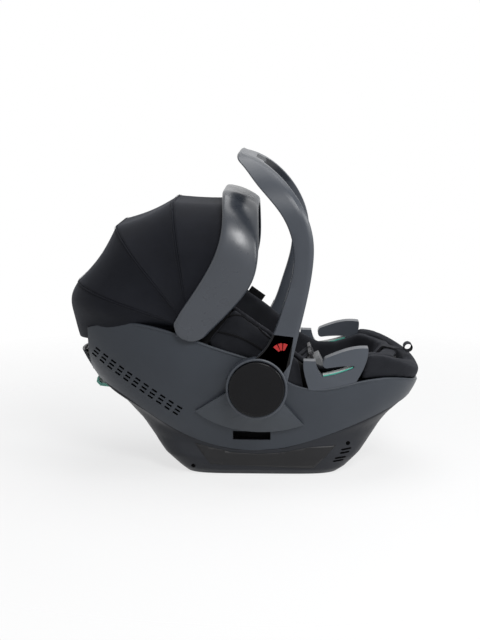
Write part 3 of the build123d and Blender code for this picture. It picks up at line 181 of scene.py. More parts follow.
scene.world = scene.world or bpy.data.worlds.new("studio")
scene.world.use_nodes = True
room = scene.world.node_tree
room.nodes.clear()
ambient, white = (add_node(room, "ShaderNodeBackground", {"Color": colour}).outputs[0] for colour in (AMBIENT, WHITE))
sky = add_node(room, "ShaderNodeMixShader", {0: direct_sight(room), 1: ambient, 2: white})
add_node(room, "ShaderNodeOutputWorld", {0: sky.outputs[0]})
floor = mesh_object("floor", [(FLOOR_RADIUS * math.cos(turn), FLOOR_RADIUS * math.sin(turn), FLOOR_Z)
                              for turn in turns(FLOOR_SIDES)], [list(range(FLOOR_SIDES))])
floor_material, ground, matt, ground_place = new_material("pale_floor")
feed(ground, matt, {"Base Color": FLOOR_COLOUR, "Roughness": 0.9, "Specular IOR Level": 0.1})
reach = add_node(ground, "ShaderNodeVectorMath", {0: ground_place}, operation="LENGTH").outputs["Value"]
fade = add_node(ground, "ShaderNodeMapRange", {"Value": reach, "From Min": FLOOR_FADE[0], "From Max": FLOOR_FADE[1]})
glow = add_node(ground, "ShaderNodeMixShader", {0: maths(ground, "MULTIPLY", direct_sight(ground), FLOOR_GLOW),
                                                1: matt.outputs[0],
                                                2: add_node(ground, "ShaderNodeEmission").outputs[0]})
clear = add_node(ground, "ShaderNodeBsdfTransparent")
fading = add_node(ground, "ShaderNodeMixShader", {0: fade.outputs[0], 1: glow.outputs[0], 2: clear.outputs[0]})
feed(ground, ground.nodes["Material Output"], {0: fading.outputs[0]})
floor.data.materials.append(floor_material)

# Base: the charcoal tub that the shell stands on, with its bottom plate, screws and steel dock bars.
# Fine-grained polypropylene; four screws hold the plate, and the label area is a bare matt plate.
BASE_DARK = (0.018, 0.0195, 0.0235)
BASE_LIGHT = (0.027, 0.0290, 0.0345)
BASE_INSET = 4.2
BASE_FLUSH = 0.7
BASE_STEP = 5.0
BASE_FILL = 40.0
BASE_EDGE_ROWS = (-5.0, -3.6, -2.2, -1.0, 0.0, 2.5, 5.0)
BASE_LAP = 5.0
BASE_ROWS = 22
BASE_TURNS = 240
BASE_CROWDING = 1.25
BASE_OWN_INSET = 3.5
BASE_END_DRAW = 1.4
BASE_RING_INSET = 8.0
BASE_WALL = 0.0026
EDGE_GUESS = 60.0
EDGE_ROUNDS = 30
BASE_LEVELS = ((0, -144, 163, 116, 5.5, 5.0), (10, -155, 176, 126, 5.5, 5.0), (36, -185, 203, 137, 4.6, 4.4),
               (62, -209, 224, 141, 2.9, 3.3), (90, -231, 243, 150, 2.4, 2.9),
               (120, -259, 267, 160, 2.3, 2.9), (175, -309, 306, 174, 2.3, 2.9))
SHELL_LEVELS = ((0, -105, 112, 100, 2.3, 2.9), (10, -130, 150, 116, 2.3, 2.9), (36, -168, 187, 130, 2.3, 2.9),
                (90, -238, 244, 150, 2.3, 2.9), (150, -297, 297, 170, 2.3, 2.9), (220, -342, 318, 181, 2.3, 2.9),
                (290, -366, 330, 183, 2.3, 2.9))
SHELL_EDGE_X = (-320, -220, -143, -50, 43, 159, 226, 320)
SHELL_EDGE_Z = (178, 128, 82, 55, 57, 93, 120, 160)
LABEL_OUTLINE = ((-118, 62), (-88, 22), (106, 14), (148, 60), (100, 58), (43, 47), (0, 44), (-50, 47))
LABEL_DARK = (0.009, 0.009, 0.010)
LABEL_LIGHT = (0.014, 0.014, 0.0155)
FLOW_SIZE = 0.09
GLOSS_SIZE = 0.02
GRAIN_STRENGTH = 0.35
COAT_ROUGHNESS = 0.08
DRAW_LINES = 0.0006
DRAW_STRETCH = (1.0, 0.04, 1.0)
SOLID_MERGE = 0.00002
FLAT_ANGLE = math.radians(1.0)
PATCH_CELL = 0.007
PATCH_START = 0.6


def blend_colour(tree, factor, dark, light):
    """Colour between two tones, by a factor."""
    return add_node(tree, "ShaderNodeMix", {0: factor, 6: dark, 7: light}, data_type="RGBA").outputs[2]


def clouds(tree, coords, size, detail=2.0):
    """Soft random patches of about that size, in metres."""
    inputs = {"Vector": coords, "Scale": 1.0 / size, "Detail": detail}
    return add_node(tree, "ShaderNodeTexNoise", inputs).outputs["Fac"]


def between(tree, factor, low, high):
    """Value between two limits, by a factor."""
    inputs = {"Value": factor, "From Min": 0.3, "From Max": 0.7, "To Min": low, "To Max": high}
    return add_node(tree, "ShaderNodeMapRange", inputs).outputs[0]


def relief(tree, height, strength, depth, **more):
    """Fine relief of a surface, by a height."""
    inputs = {"Height": height, "Strength": strength, "Distance": depth, **more}
    return add_node(tree, "ShaderNodeBump", inputs).outputs[0]


def moulded_plastic(name, dark, light, roughness, grain=0.0011, depth=0.00006, coat=0.0, shine=0.3):
    """Moulded plastic with a fine spark-eroded grain and faint flow clouds."""
    material, tree, shader, coords = new_material(name)
    feed(tree, shader, {
        "Base Color": blend_colour(tree, clouds(tree, coords, FLOW_SIZE, 3.0), dark, light),
        "Roughness": between(tree, clouds(tree, coords, GLOSS_SIZE), roughness - 0.04, roughness + 0.05),
        "Normal": relief(tree, clouds(tree, coords, grain, 1.0), GRAIN_STRENGTH, depth),
        "Specular IOR Level": shine, "Coat Weight": coat, "Coat Roughness": COAT_ROUGHNESS})
    return material


def plated_steel(name, dark, light, roughness):
    """Bright plated steel with fine draw lines along its length."""
    material, tree, shader, coords = new_material(name)
    stretch = add_node(tree, "ShaderNodeMapping", {"Vector": coords, "Scale": DRAW_STRETCH})
    lines = clouds(tree, stretch.outputs[0], DRAW_LINES, 3.0)
    feed(tree, shader, {"Metallic": 1.0, "Base Color": blend_colour(tree, lines, dark, light),
                        "Roughness": between(tree, lines, roughness - 0.07, roughness + 0.07)})
    return material


def dress(material, *names):
    """Gives solids that keep their own shape a finish."""
    for name in names:
        for slot in nodes[name].material_slots:
            slot.material = material


def settle(obj, body, slot, material, *stands_for):
    """Gives a made piece its finish, its body and the solids it stands for."""
    obj.data.materials.append(material)
    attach(obj, body)
    if stands_for:
        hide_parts(*stands_for)
    return obj


def shape_of(mesh):
    """Points and faces of a mesh."""
    return [v.co.copy() for v in mesh.vertices], [list(p.vertices) for p in mesh.polygons]


def refined(name, node, body, slot, material, bevel=0.0, segments=2, angle=32.0):
    """Joined-up copy of a solid with smooth faces and softened edges, in the solid's place."""
    mesh = new_mesh(name, *shape_of(nodes[node].data))
    with edited(mesh) as work:
        bmesh.ops.remove_doubles(work, verts=work.verts, dist=SOLID_MERGE)
        if bevel:
            bmesh.ops.dissolve_limit(work, angle_limit=FLAT_ANGLE, verts=work.verts, edges=work.edges)
    mesh.set_sharp_from_angle(angle=math.radians(angle))
    obj = placed(name, mesh)
    if bevel:
        arranged(obj.modifiers.new("soft_edges", "BEVEL"), width=bevel, segments=segments, limit_method="ANGLE",
                 angle_limit=math.radians(angle), harden_normals=True)
    return settle(obj, body, slot, material, node)


def grid_faces(rows, count, round_rows=False, round_row=False):
    """Four-cornered faces over rows of points, which may close into a ring either way."""
    return [(i * count + k, i * count + (k + 1) % count, (i + 1) % rows * count + (k + 1) % count,
             (i + 1) % rows * count + k)
            for i in range(rows if round_rows else rows - 1) for k in range(count if round_row else count - 1)]


base_plastic = moulded_plastic("charcoal_grain", BASE_DARK, BASE_LIGHT, 0.48, depth=0.00012, shine=0.22)
label_finish = moulded_plastic("bare_label", LABEL_DARK, LABEL_LIGHT, 0.36, grain=0.0006)
steel = plated_steel("plated_steel", (0.42, 0.42, 0.44), (0.62, 0.62, 0.64), 0.3)


def plan_point(level, turn, inset):
    """Point of the base's rounded plan at a height; a level is head end, foot end, half width and squareness."""
    head, foot, half_width, head_square, foot_square = level
    along, across = math.cos(turn), math.sin(turn)
    power = 2.0 / (foot_square if along > 0 else head_square)
    x = (head + foot) / 2 + ((foot - head) / 2 - inset * BASE_END_DRAW) * math.copysign(abs(along) ** power, along)
    return x, math.copysign((half_width - inset) * abs(across) ** power, across)


def level_at(levels, height):
    """Values of a table of levels at a height."""
    return [float(np.interp(height, [row[0] for row in levels], [row[k] for row in levels])) for k in range(1, 6)]


def ramp(value):
    """Soft step from 0 to 1."""
    value = min(1.0, max(0.0, value))
    return value * value * (3 - 2 * value)


def base_column(turn):
    """One upright strip of the tub: it follows the shell near the shell's edge and fills out below."""
    top = EDGE_GUESS
    for _ in range(EDGE_ROUNDS):
        x = plan_point(level_at(SHELL_LEVELS, top), turn, BASE_INSET)[0]
        top += 0.5 * (float(np.interp(x, SHELL_EDGE_X, SHELL_EDGE_Z)) + BASE_LAP - top)
    edge = top - BASE_LAP
    heights = [(edge - BASE_STEP) * (step / BASE_ROWS) ** BASE_CROWDING for step in range(BASE_ROWS)]
    strip = []
    for z in heights + [edge + step for step in BASE_EDGE_ROWS]:
        out = ramp((edge - z) / BASE_STEP)
        tight = plan_point(level_at(SHELL_LEVELS, z), turn, BASE_INSET + (BASE_FLUSH - BASE_INSET) * out)
        full = plan_point(level_at(BASE_LEVELS, z), turn, BASE_OWN_INSET)
        share = ramp((edge - z) / BASE_FILL)
        x, y = (a + (b - a) * share for a, b in zip(tight, full))
        strip.append(Vector((x, y, max(z, 0.0))) / 1000.0)
    return strip


base_columns = [[Vector((*plan_point(SHELL_LEVELS[0][1:], turn, BASE_RING_INSET), 0.0)) / 1000.0] + base_column(turn)
                for turn in turns(BASE_TURNS, 0.5)]
base_points = [p for column in base_columns for p in column]
base_faces = [(a, d, c, b) for a, b, c, d in grid_faces(BASE_TURNS, len(base_columns[0]), round_rows=True)]
tub = mesh_object("base_tub_moulding", base_points, base_faces)
tub_tree = BVHTree.FromPolygons(base_points, base_faces)
arranged(tub.modifiers.new("wall", "SOLIDIFY"), thickness=BASE_WALL, offset=-1.0)
settle(tub, "seat", "base_plastic", base_plastic, "base_tub")


def side_patch(name, tree, outlines, lift, thickness):
    """Thin plates laid on a side surface, cut to side view outlines, on one or both sides of the seat."""
    mesh = bpy.data.meshes.new(name)
    with edited(mesh) as work:
        for outline, near in outlines:
            piece = bmesh.new()
            corners = [(x / 1000.0, z / 1000.0) for x, z in outline]
            piece.faces.new([piece.verts.new((x, 0.0, z)) for x, z in corners])
            for line, way in zip(zip(*corners), ((1, 0, 0), (0, 0, 1))):
                for cut in np.arange(min(line) + PATCH_CELL, max(line), PATCH_CELL):
                    bmesh.ops.bisect_plane(piece, geom=piece.verts[:] + piece.edges[:] + piece.faces[:],
                                           plane_co=Vector(way) * cut, plane_no=way)
            for vert in piece.verts:
                start = Vector((vert.co.x, -PATCH_START * near, vert.co.z))
                spot, normal = tree.ray_cast(start, Vector((0, near, 0)))[:2]
                if spot is not None:
                    vert.co = spot + (normal if normal.y * near < 0 else -normal) * lift
            if piece.faces[:][0].normal.y * near > 0:
                bmesh.ops.reverse_faces(piece, faces=piece.faces[:])
            copy = bpy.data.meshes.new("patch")
            piece.to_mesh(copy)
            piece.free()
            work.from_mesh(copy)
            bpy.data.meshes.remove(copy)
        work.normal_update()
    obj = placed(name, mesh)
    arranged(obj.modifiers.new("plate", "SOLIDIFY"), thickness=thickness, offset=0.0)
    return obj


label = side_patch("bare_label_plate", tub_tree, [(LABEL_OUTLINE, 1)], 0.0003, 0.0006)
settle(label, "seat", "label", label_finish, "base_label")

# Vents and screw seats at the corners of the base: four slots beside the foot end and two sunk screws.
# They are thin near-black plates laid on the tub's side: painted shade for the dark space inside the tub.
BASE_VENTS = ((168, 51, 20), (165, 44.5, 19), (157, 35, 22), (153, 28.5, 21))
VENT_RISE = 1.6
VENT_LEAN = 0.6
VENT_NIP = 2
SCREW_SEATS = ((171, 62), (-121, 16))
SCREW_SEAT = 4.0
# Near-black and without shine: painted shade for the vent slots, the screw seats and the sheet behind the shell's
# vents.
painted_shade_black = moulded_plastic("painted_shade_black", (0.0015, 0.0015, 0.0016), (0.0025, 0.0025, 0.0027), 0.9, shine=0.02)
slots = []
for near in (1, -1):
    for x, z, length in BASE_VENTS:
        tail, tip, low, high = x - length / 2, x + length / 2, z - VENT_LEAN, z + VENT_LEAN
        slots.append(([(tail, low), (tail + VENT_NIP, low - VENT_RISE), (tip - VENT_NIP, high - VENT_RISE),
                       (tip, high), (tip - VENT_NIP, high + VENT_RISE), (tail + VENT_NIP, low + VENT_RISE)], near))
    for x, z in SCREW_SEATS:
        ring = [(x + SCREW_SEAT * math.cos(turn), z + SCREW_SEAT * math.sin(turn)) for turn in turns(16)]
        slots.append((ring, near))
vents = side_patch("base_vents", tub_tree, slots, 0.0003, 0.0004)
settle(vents, "seat", "base_plastic", painted_shade_black)
dress(base_plastic, "base_plate")
dress(steel, "base_screws", "dock_bars")

# Seat shell: the slate-grey bucket with its vent slots, satin polypropylene, screwed to the base.
# A rounded bead runs round its rim and a thinner lip round its lower edge.
SHELL_DARK = (0.039, 0.045, 0.055)
SHELL_LIGHT = (0.052, 0.060, 0.072)
RIM_BEAD = 0.0028
LOWER_LIP = 0.0019
SHELL_MIDDLE = -0.018
SHELL_REACH = (0.56, 0.30)
EDGE_STEPS = 260
EDGE_HALVINGS = 9
EDGE_SINK = 0.0012
RIM_HEIGHTS = [0.320 - 0.003 * i for i in range(70)]
LIP_HEIGHTS = [0.040 + 0.003 * i for i in range(60)]
TUBE_START = Vector((0.31, 0.17, 0.93))


def edge_ring(tree, heights):
    """Points round the outside of the shell where its wall first shows, from a list of heights."""
    ring = []
    for step in range(EDGE_STEPS):
        turn = math.tau * step / EDGE_STEPS
        start = Vector((SHELL_MIDDLE + SHELL_REACH[0] * math.cos(turn), SHELL_REACH[1] * math.sin(turn), 0.0))
        inward = Vector((SHELL_MIDDLE, 0.0, 0.0)) - start
        reach = inward.length * 0.9
        inward.normalize()
        low, found = heights[0], None
        for high in heights:
            start.z = high
            found = tree.ray_cast(start, inward, reach)[0]
            if found is not None:
                break
            low = high
        if found is None:
            continue
        for _ in range(EDGE_HALVINGS):
            start.z = (low + high) / 2
            spot = tree.ray_cast(start, inward, reach)[0]
            if spot is None:
                low = start.z
            else:
                high, found = start.z, spot
        ring.append(found + inward * EDGE_SINK)
    return ring


def eased(points, rounds=3):
    """The same closed path with its small steps smoothed out."""
    path = [Vector(p) for p in points]
    for _ in range(rounds):
        path = [path[i] * 0.5 + (path[i - 1] + path[(i + 1) % len(path)]) * 0.25 for i in range(len(path))]
    return path


def lofted(loops, closed=False):
    """Points and faces of a skin over loops, closed into a ring or with flat ends."""
    count = len(loops[0])
    points = [p for loop in loops for p in loop]
    faces = grid_faces(len(loops), count, closed, True)
    if not closed:
        faces += [tuple(range(count)), tuple(range(len(points) - count, len(points)))]
    return points, faces


def tube(path, radius, sides=10, closed=False):
    """Points and faces of a round bead along a path."""
    loops = []
    normal = None
    for i, spot in enumerate(path):
        before = path[i - 1] if closed or i else spot
        after = path[(i + 1) % len(path)] if closed or i < len(path) - 1 else spot
        along = (after - before).normalized()
        if normal is None:
            normal = along.cross(TUBE_START).normalized()
        normal = (normal - along * normal.dot(along)).normalized()
        across = along.cross(normal)
        loops.append([spot + normal * radius * math.cos(turn) + across * radius * math.sin(turn)
                      for turn in turns(sides)])
    return lofted(loops, closed)


shell_plastic = moulded_plastic("slate_shell", SHELL_DARK, SHELL_LIGHT, 0.40, shine=0.25)
refined("seat_shell_smooth", "seat_shell", "seat", "shell_plastic", shell_plastic)
shell_tree = BVHTree.FromPolygons(*shape_of(nodes["seat_shell"].data))
for name, heights, radius in (("shell_rim_bead", RIM_HEIGHTS, RIM_BEAD), ("shell_lower_lip", LIP_HEIGHTS, LOWER_LIP)):
    bead = mesh_object(name, *tube(eased(edge_ring(shell_tree, heights)), radius, closed=True))
    settle(bead, "seat", "shell_plastic", shell_plastic)

# Vent shade sheet: a near-black strip behind the vent slots on each side, so that no light passes and the slots show
# painted shade.
# It lies close behind the shell's wall and is half a millimetre thick.
SHADE_SHEET_OUTLINE = ((-318, 246), (-318, 208), (-160, 88), (-118, 108), (-280, 254))
SHADE_SHEET_INSET = 3.9
SHADE_SHEET_TURNS = 180
SHADE_SHEET_ROWS = np.linspace(70.0, 285.0, 30)
shade_sheet_points = [Vector((*plan_point(level_at(SHELL_LEVELS, z), turn, SHADE_SHEET_INSET), z)) / 1000.0
                for z in SHADE_SHEET_ROWS for turn in turns(SHADE_SHEET_TURNS, 0.5)]
shade_sheet_tree = BVHTree.FromPolygons(shade_sheet_points, grid_faces(len(SHADE_SHEET_ROWS), SHADE_SHEET_TURNS, round_row=True))
shade_sheet = side_patch("vent_shade_sheet", shade_sheet_tree, [(SHADE_SHEET_OUTLINE, 1), (SHADE_SHEET_OUTLINE, -1)], 0.0, 0.0005)
settle(shade_sheet, "seat", "cover_cloth", painted_shade_black)

# Hub fairings: moulded caps welded to the shell's sides, which carry the fixed hub plates.
# Same slate plastic in a lighter copy, painted light for the light that falls on their lips; pan and plates are
# hidden inside.
lit_slate_plastic = moulded_plastic("lit_slate_copy", (0.046, 0.053, 0.063), (0.060, 0.069, 0.081), 0.38)
hidden_plastic = moulded_plastic("hidden_moulding", (0.030, 0.030, 0.033), (0.042, 0.042, 0.046), 0.5)
refined("hub_fairings_smooth", "hub_fairings", "seat", "shell_plastic", lit_slate_plastic, bevel=0.0012)
dress(hidden_plastic, "seat_pan", "hub_plates", "canopy_mounts")
dress(steel, "pivot_bolts", "harness_yoke")

# Shoulder belt hook on the back, adapter latches and the release lever at the head end.
# The hook is satin mint plastic; the lever and the latches take the fairings' lighter slate, with the same painted
# light.
mint_plastic = moulded_plastic("mint_plastic", (0.185, 0.50, 0.40), (0.22, 0.56, 0.45), 0.36)
refined("belt_hook_soft", "shoulder_belt_hook", "seat", "mint_plastic", mint_plastic, bevel=0.0008)
refined("release_lever_soft", "release_lever", "release_lever", "shell_plastic", lit_slate_plastic, bevel=0.0008)
dress(lit_slate_plastic, "adapter_latches")

# Foam liner: dark expanded foam between shell and cover, in beads welded together by steam.
# It fills the wall behind the cover and shows only where the cover is lifted.
foam = moulded_plastic("bead_foam", (0.012, 0.012, 0.013), (0.020, 0.020, 0.021), 0.8, grain=0.004, depth=0.0004)
dress(foam, "foam_liner", "foam_floor")

# Seat cover: the padded lining of the bucket, its seat panel and the roll along the edge, one sewn cloth.
# Near-black knitted polyester over wadding, pulled over the foam and hooked under the rim.
COVER_DARK = (0.0100, 0.0106, 0.0132)
COVER_LIGHT = (0.0215, 0.0227, 0.0270)
COVER_VOXEL = 0.0042
COVER_SHRINK = 0.0004
COVER_SOLIDS = ("cover_lining", "cover_edge", "seat_cushion")
THREAD_LEANS = ((1.0, 1.0, 1.0), (1.0, -0.6, -1.0))


def waves(tree, place, bands, scale, wobble, detail=1.0):
    """Fine waves, one to a thread."""
    inputs = {"Vector": place, "Scale": scale, "Distortion": wobble, "Detail Scale": detail}
    return add_node(tree, "ShaderNodeTexWave", inputs, bands_direction=bands).outputs["Fac"]


def padded_cloth(name, dark, light, thread=0.0013, depth=0.00022, sheen=0.05):
    """Knitted cloth over padding: crossed threads, soft shade patches and a light nap."""
    material, tree, shader, coords = new_material(name)
    leans = [add_node(tree, "ShaderNodeMapping", {"Vector": coords, "Scale": lean}) for lean in THREAD_LEANS]
    crossed = maths(tree, "MULTIPLY", *(waves(tree, lean.outputs[0], "DIAGONAL", math.tau / (10.0 * thread), 0.6, 2.0)
                                        for lean in leans))
    patches = between(tree, clouds(tree, coords, 0.035, 3.0), 0.0, 0.55)
    feed(tree, shader, {
        "Base Color": blend_colour(tree, maths(tree, "MULTIPLY_ADD", crossed, 0.45, patches), dark, light),
        "Roughness": 0.85, "Specular IOR Level": 0.12, "Sheen Weight": sheen, "Sheen Roughness": 0.45,
        "Sheen Tint": (0.75, 0.80, 0.95), "Normal": relief(tree, crossed, 0.5, depth)})
    return material


def joined(*shapes):
    """Several sets of points and faces as one."""
    points, faces = [], []
    for more, rings in shapes:
        base = len(points)
        points += more
        faces += [[base + i for i in ring] for ring in rings]
    return points, faces


def baked(obj):
    """The mesh that an object's modifiers make, which are then taken off."""
    mesh = bpy.data.meshes.new_from_object(obj.evaluated_get(bpy.context.evaluated_depsgraph_get()))
    obj.modifiers.clear()
    return mesh


def ironed(work, rounds):
    """Smooths the small steps out of an open mesh."""
    for _ in range(rounds):
        bmesh.ops.smooth_vert(work, verts=work.verts, factor=0.5, use_axis_x=True, use_axis_y=True, use_axis_z=True)


def remeshed(name, sources, voxel, shrink):
    """Closed, even mesh round some solids, drawn in a little."""
    obj = mesh_object(name, *joined(*(shape_of(nodes[source].data) for source in sources)))
    arranged(obj.modifiers.new("even", "REMESH"), mode="VOXEL", voxel_size=voxel)
    obj.data = baked(obj)
    with edited(obj.data) as work:
        ironed(work, 1)
        work.normal_update()
        for vert in work.verts:
            vert.co -= vert.normal * shrink
    return obj


def filled(obj, pressure, cap, frames=20):
    """Blows a padded piece up as cloth round its filling, with a cap on how far a point may move."""
    rest = np.array([v.co for v in obj.data.vertices])
    cloth = obj.modifiers.new("filling", "CLOTH")
    arranged(cloth.settings, quality=4, mass=0.15, tension_stiffness=12.0, compression_stiffness=12.0,
             bending_stiffness=0.6, use_pressure=True, uniform_pressure_force=pressure)
    cloth.settings.effector_weights.gravity = 0.0
    arranged(cloth.point_cache, frame_start=1, frame_end=frames)
    for number in range(1, frames + 1):
        scene.frame_set(number)
    swollen = baked(obj)
    shift = np.array([v.co for v in swollen.vertices]) - rest
    scene.frame_set(1)
    length = np.linalg.norm(shift, axis=1, keepdims=True)
    shift *= np.minimum(1.0, cap / np.maximum(length, 1e-9))
    obj.data.vertices.foreach_set("co", (rest + shift).ravel())
    obj.data.update()
    bpy.data.meshes.remove(swollen)


cover_cloth = padded_cloth("padded_cover_cloth", COVER_DARK, COVER_LIGHT)
bucket_cover = remeshed("bucket_cover", COVER_SOLIDS, COVER_VOXEL, COVER_SHRINK)
with edited(bucket_cover.data) as work:
    ironed(work, 5)
settle(bucket_cover, "seat", "cover_cloth", cover_cloth, *COVER_SOLIDS)

# Side bolsters: padded wings beside the infant, between the canopy bow and the belt guides.
# Two cloth panels round a foam core, with corded piping along the upper edge and the fold below it.
PIPING = 0.0019
WING_SEAM = ((-94, 281), (-62, 303), (-40, 315), (-12, 301), (22, 273), (54, 247))
WING_FOLD = ((-78, 284), (-45, 279), (-10, 264), (20, 245), (50, 224))
CUSHION_PRESSURE = 4.0
CUSHION_VOXEL = 0.0042


def through(points, count):
    """Even points on a smooth curve through the given ones."""
    spots = np.array(points, float)
    knots = np.concatenate(([0.0], np.cumsum(np.linalg.norm(np.diff(spots, axis=0), axis=1))))
    gaps = np.diff(knots)
    last = len(spots) - 1
    system = np.eye(last + 1)
    bends = np.zeros_like(spots)
    for i in range(1, last):
        system[i, i - 1:i + 2] = gaps[i - 1], 2 * (gaps[i - 1] + gaps[i]), gaps[i]
        bends[i] = 6 * ((spots[i + 1] - spots[i]) / gaps[i] - (spots[i] - spots[i - 1]) / gaps[i - 1])
    bends = np.linalg.solve(system, bends)
    at = np.linspace(0, knots[-1], 40 * last)
    i = np.clip(np.searchsorted(knots, at, side="right") - 1, 0, last - 1)
    gap, ahead, behind = gaps[i][:, None], (knots[i + 1] - at)[:, None], (at - knots[i])[:, None]
    dense = ((bends[i] * ahead ** 3 + bends[i + 1] * behind ** 3) / (6 * gap)
             + (spots[i] / gap - bends[i] * gap / 6) * ahead + (spots[i + 1] / gap - bends[i + 1] * gap / 6) * behind)
    run = np.concatenate(([0.0], np.cumsum(np.linalg.norm(np.diff(dense, axis=0), axis=1))))
    even = np.linspace(0, run[-1], count)
    return np.column_stack([np.interp(even, run, dense[:, k]) for k in range(dense.shape[1])])


def on_right(tree, line, count, lift):
    """Points of a side view line laid onto the right side of a surface."""
    path = []
    for x, z in through(line, count) / 1000.0:
        spot = tree.ray_cast(Vector((x, -0.5, z)), Vector((0, 1, 0)))[0]
        if spot is not None and spot.y < -0.05:
            path.append(spot - Vector((0, lift, 0)))
    return path


def mirrored(points):
    """The same points on the other side of the seat."""
    return [Vector((p.x, -p.y, p.z)) for p in points]


def cushion(name, source, body, material, swell, voxel=CUSHION_VOXEL, shrink=0.0012):
    """Padded piece round a solid: an even skin, drawn in, blown up by its filling and ironed."""
    obj = remeshed(name, (source,), voxel, shrink)
    filled(obj, CUSHION_PRESSURE, swell)
    with edited(obj.data) as work:
        ironed(work, 2)
    settle(obj, body, "cover_cloth", material, source)
    return obj


right_bolster = cushion("side_bolster_pad_right", "side_bolster_right", "seat", cover_cloth, 0.006)
wing_points, wing_faces = shape_of(right_bolster.data)
left_bolster = mesh_object("side_bolster_pad_left", mirrored(wing_points), wing_faces)
settle(left_bolster, "seat", "cover_cloth", cover_cloth, "side_bolster_left")
piping_cloth = padded_cloth("piping_cloth", (0.003, 0.003, 0.0035), (0.006, 0.006, 0.0065), thread=0.0008)
wing_tree = BVHTree.FromPolygons(wing_points, wing_faces)
cords = []
for seam in (WING_SEAM, WING_FOLD):
    path = on_right(wing_tree, seam, 70, 0.0004)
    cords += [tube(path, PIPING), tube(mirrored(path), PIPING)]
wing_piping = mesh_object("wing_piping", *joined(*cords))
settle(wing_piping, "seat", "cover_cloth", piping_cloth)

# Foot apron: padded cloth over the foot rim, sewn to the cover and tucked under the shell's edge.
# The same knitted cloth, drawn tight over the rim between the belt guides.
cushion("foot_apron_pad", "foot_apron", "seat", cover_cloth, 0.005)

# Sewn tab on the left wing: a folded strip of plain black tape caught in the seam, left bare.
# It lies against the wing and is bowed a little, as stiff tape is.
TAB_CORNERS = ((-27.5, 305.3), (-16, 322), (12, 302), (0.5, 285.8))
TAB_Y = 0.1596
TAB_BOW = 0.0008
TAB_ROWS = 9
TAB_COUNT = 5
tab_points = []
for u in np.linspace(0, 1, TAB_ROWS):
    for v in np.linspace(0, 1, TAB_COUNT):
        a, b, c, d = (np.array(p) / 1000.0 for p in TAB_CORNERS)
        spot = (a * (1 - v) + b * v) * (1 - u) + (d * (1 - v) + c * v) * u
        tab_points.append((spot[0], TAB_Y - TAB_BOW * math.sin(math.pi * u), spot[1]))
tab = mesh_object("wing_tab", tab_points, grid_faces(TAB_ROWS, TAB_COUNT))
arranged(tab.modifiers.new("tape", "SOLIDIFY"), thickness=0.0012, offset=0.0)
settle(tab, "seat", "cover_cloth", piping_cloth, "cover_tab")

# Seat pad: the crowned cushion for a small infant, cloth round soft foam with one cross channel.
# It lies loose on the cover and is held by the harness that passes through it.
pad_cloth = padded_cloth("seat_pad_cloth", (0.011, 0.0115, 0.0135), (0.021, 0.022, 0.025), thread=0.0016)
cushion("seat_pad_cushion", "seat_pad", "seat", pad_cloth, 0.005, shrink=0.0014)

# Headrest: a padded horseshoe on a hidden core that slides up the back.
# Cloth round foam, swollen at the cheeks.
cushion("headrest_cushion", "headrest_pad", "headrest", pad_cloth, 0.005)
dress(hidden_plastic, "headrest_core")

# Harness: two shoulder straps and a crotch strap of woven webbing, with padded sleeves, a buckle with
# a red button and steel tongues, and the adjuster with its pull strap at the foot of the seat.
SLEEVE_VOXEL = 0.003
SLEEVE_SHRINK = 0.0008
webbing_cloth = padded_cloth("woven_webbing", (0.008, 0.008, 0.0095), (0.018, 0.018, 0.020), thread=0.0018,
                             depth=0.0003, sheen=0.08)
red_plastic = moulded_plastic("red_button", (0.42, 0.012, 0.012), (0.50, 0.018, 0.016), 0.28, coat=0.3)
buckle_plastic = moulded_plastic("buckle_plastic", (0.16, 0.165, 0.17), (0.21, 0.215, 0.22), 0.4)
for name, source in (("harness_sleeves", "harness_pads"), ("crotch_sleeve", "crotch_pad")):
    cushion(name, source, "seat", pad_cloth, 0.004, SLEEVE_VOXEL, SLEEVE_SHRINK)
for name, source in (("shoulder_webbing", "shoulder_straps"), ("crotch_webbing", "crotch_strap"),
                     ("pull_webbing", "adjuster_strap")):
    refined(name, source, "seat", "webbing", webbing_cloth)
refined("buckle_soft", "buckle_body", "seat", "hidden_plastic", buckle_plastic, bevel=0.0012, segments=3)
refined("buckle_button_soft", "buckle_button", "buckle_button", "red_plastic", red_plastic, bevel=0.0008)
refined("adjuster_soft", "adjuster_housing", "seat", "hidden_plastic", hidden_plastic, bevel=0.0008)
refined("adjuster_button_soft", "adjuster_button", "adjuster_button", "mint_plastic", mint_plastic, bevel=0.0006)
dark_steel = plated_steel("dark_steel", (0.10, 0.10, 0.105), (0.18, 0.18, 0.19), 0.36)
dress(dark_steel, "buckle_tongues")

# Lap belt guides: hook-shaped mouldings on the rim with an open slot for the vehicle belt.
# Slate plastic with rounded edges; a pale strip with a mint line lies along each slot's floor.
INLAY_MINT = (0.10, 0.46, 0.36)
SIDEWAYS = 0.6


def edged(material, colour):
    """Gives a plastic another colour on the faces that look out to the sides."""
    tree = material.node_tree
    shader = tree.nodes["Principled BSDF"]
    normal = add_node(tree, "ShaderNodeNewGeometry").outputs["True Normal"]
    facing = add_node(tree, "ShaderNodeSeparateXYZ", {0: normal}).outputs["Y"]
    outer = maths(tree, "GREATER_THAN", maths(tree, "ABSOLUTE", facing), SIDEWAYS)
    plain = shader.inputs["Base Color"].links[0].from_socket
    feed(tree, shader, {"Base Color": blend_colour(tree, outer, plain, colour)})
    return material


guide_plastic = moulded_plastic("slate_guide", (0.060, 0.068, 0.082), (0.078, 0.088, 0.104), 0.36)
inlay_plastic = moulded_plastic("pale_inlay", (0.62, 0.70, 0.67), (0.72, 0.78, 0.75), 0.4)
for side in ("right", "left"):
    refined("belt_guide_soft_" + side, "belt_guide_" + side, "seat", "shell_plastic", guide_plastic, bevel=0.0022,
            segments=3)
refined("guide_inlay_smooth", "guide_inlays", "seat", "inlay", edged(inlay_plastic, INLAY_MINT))

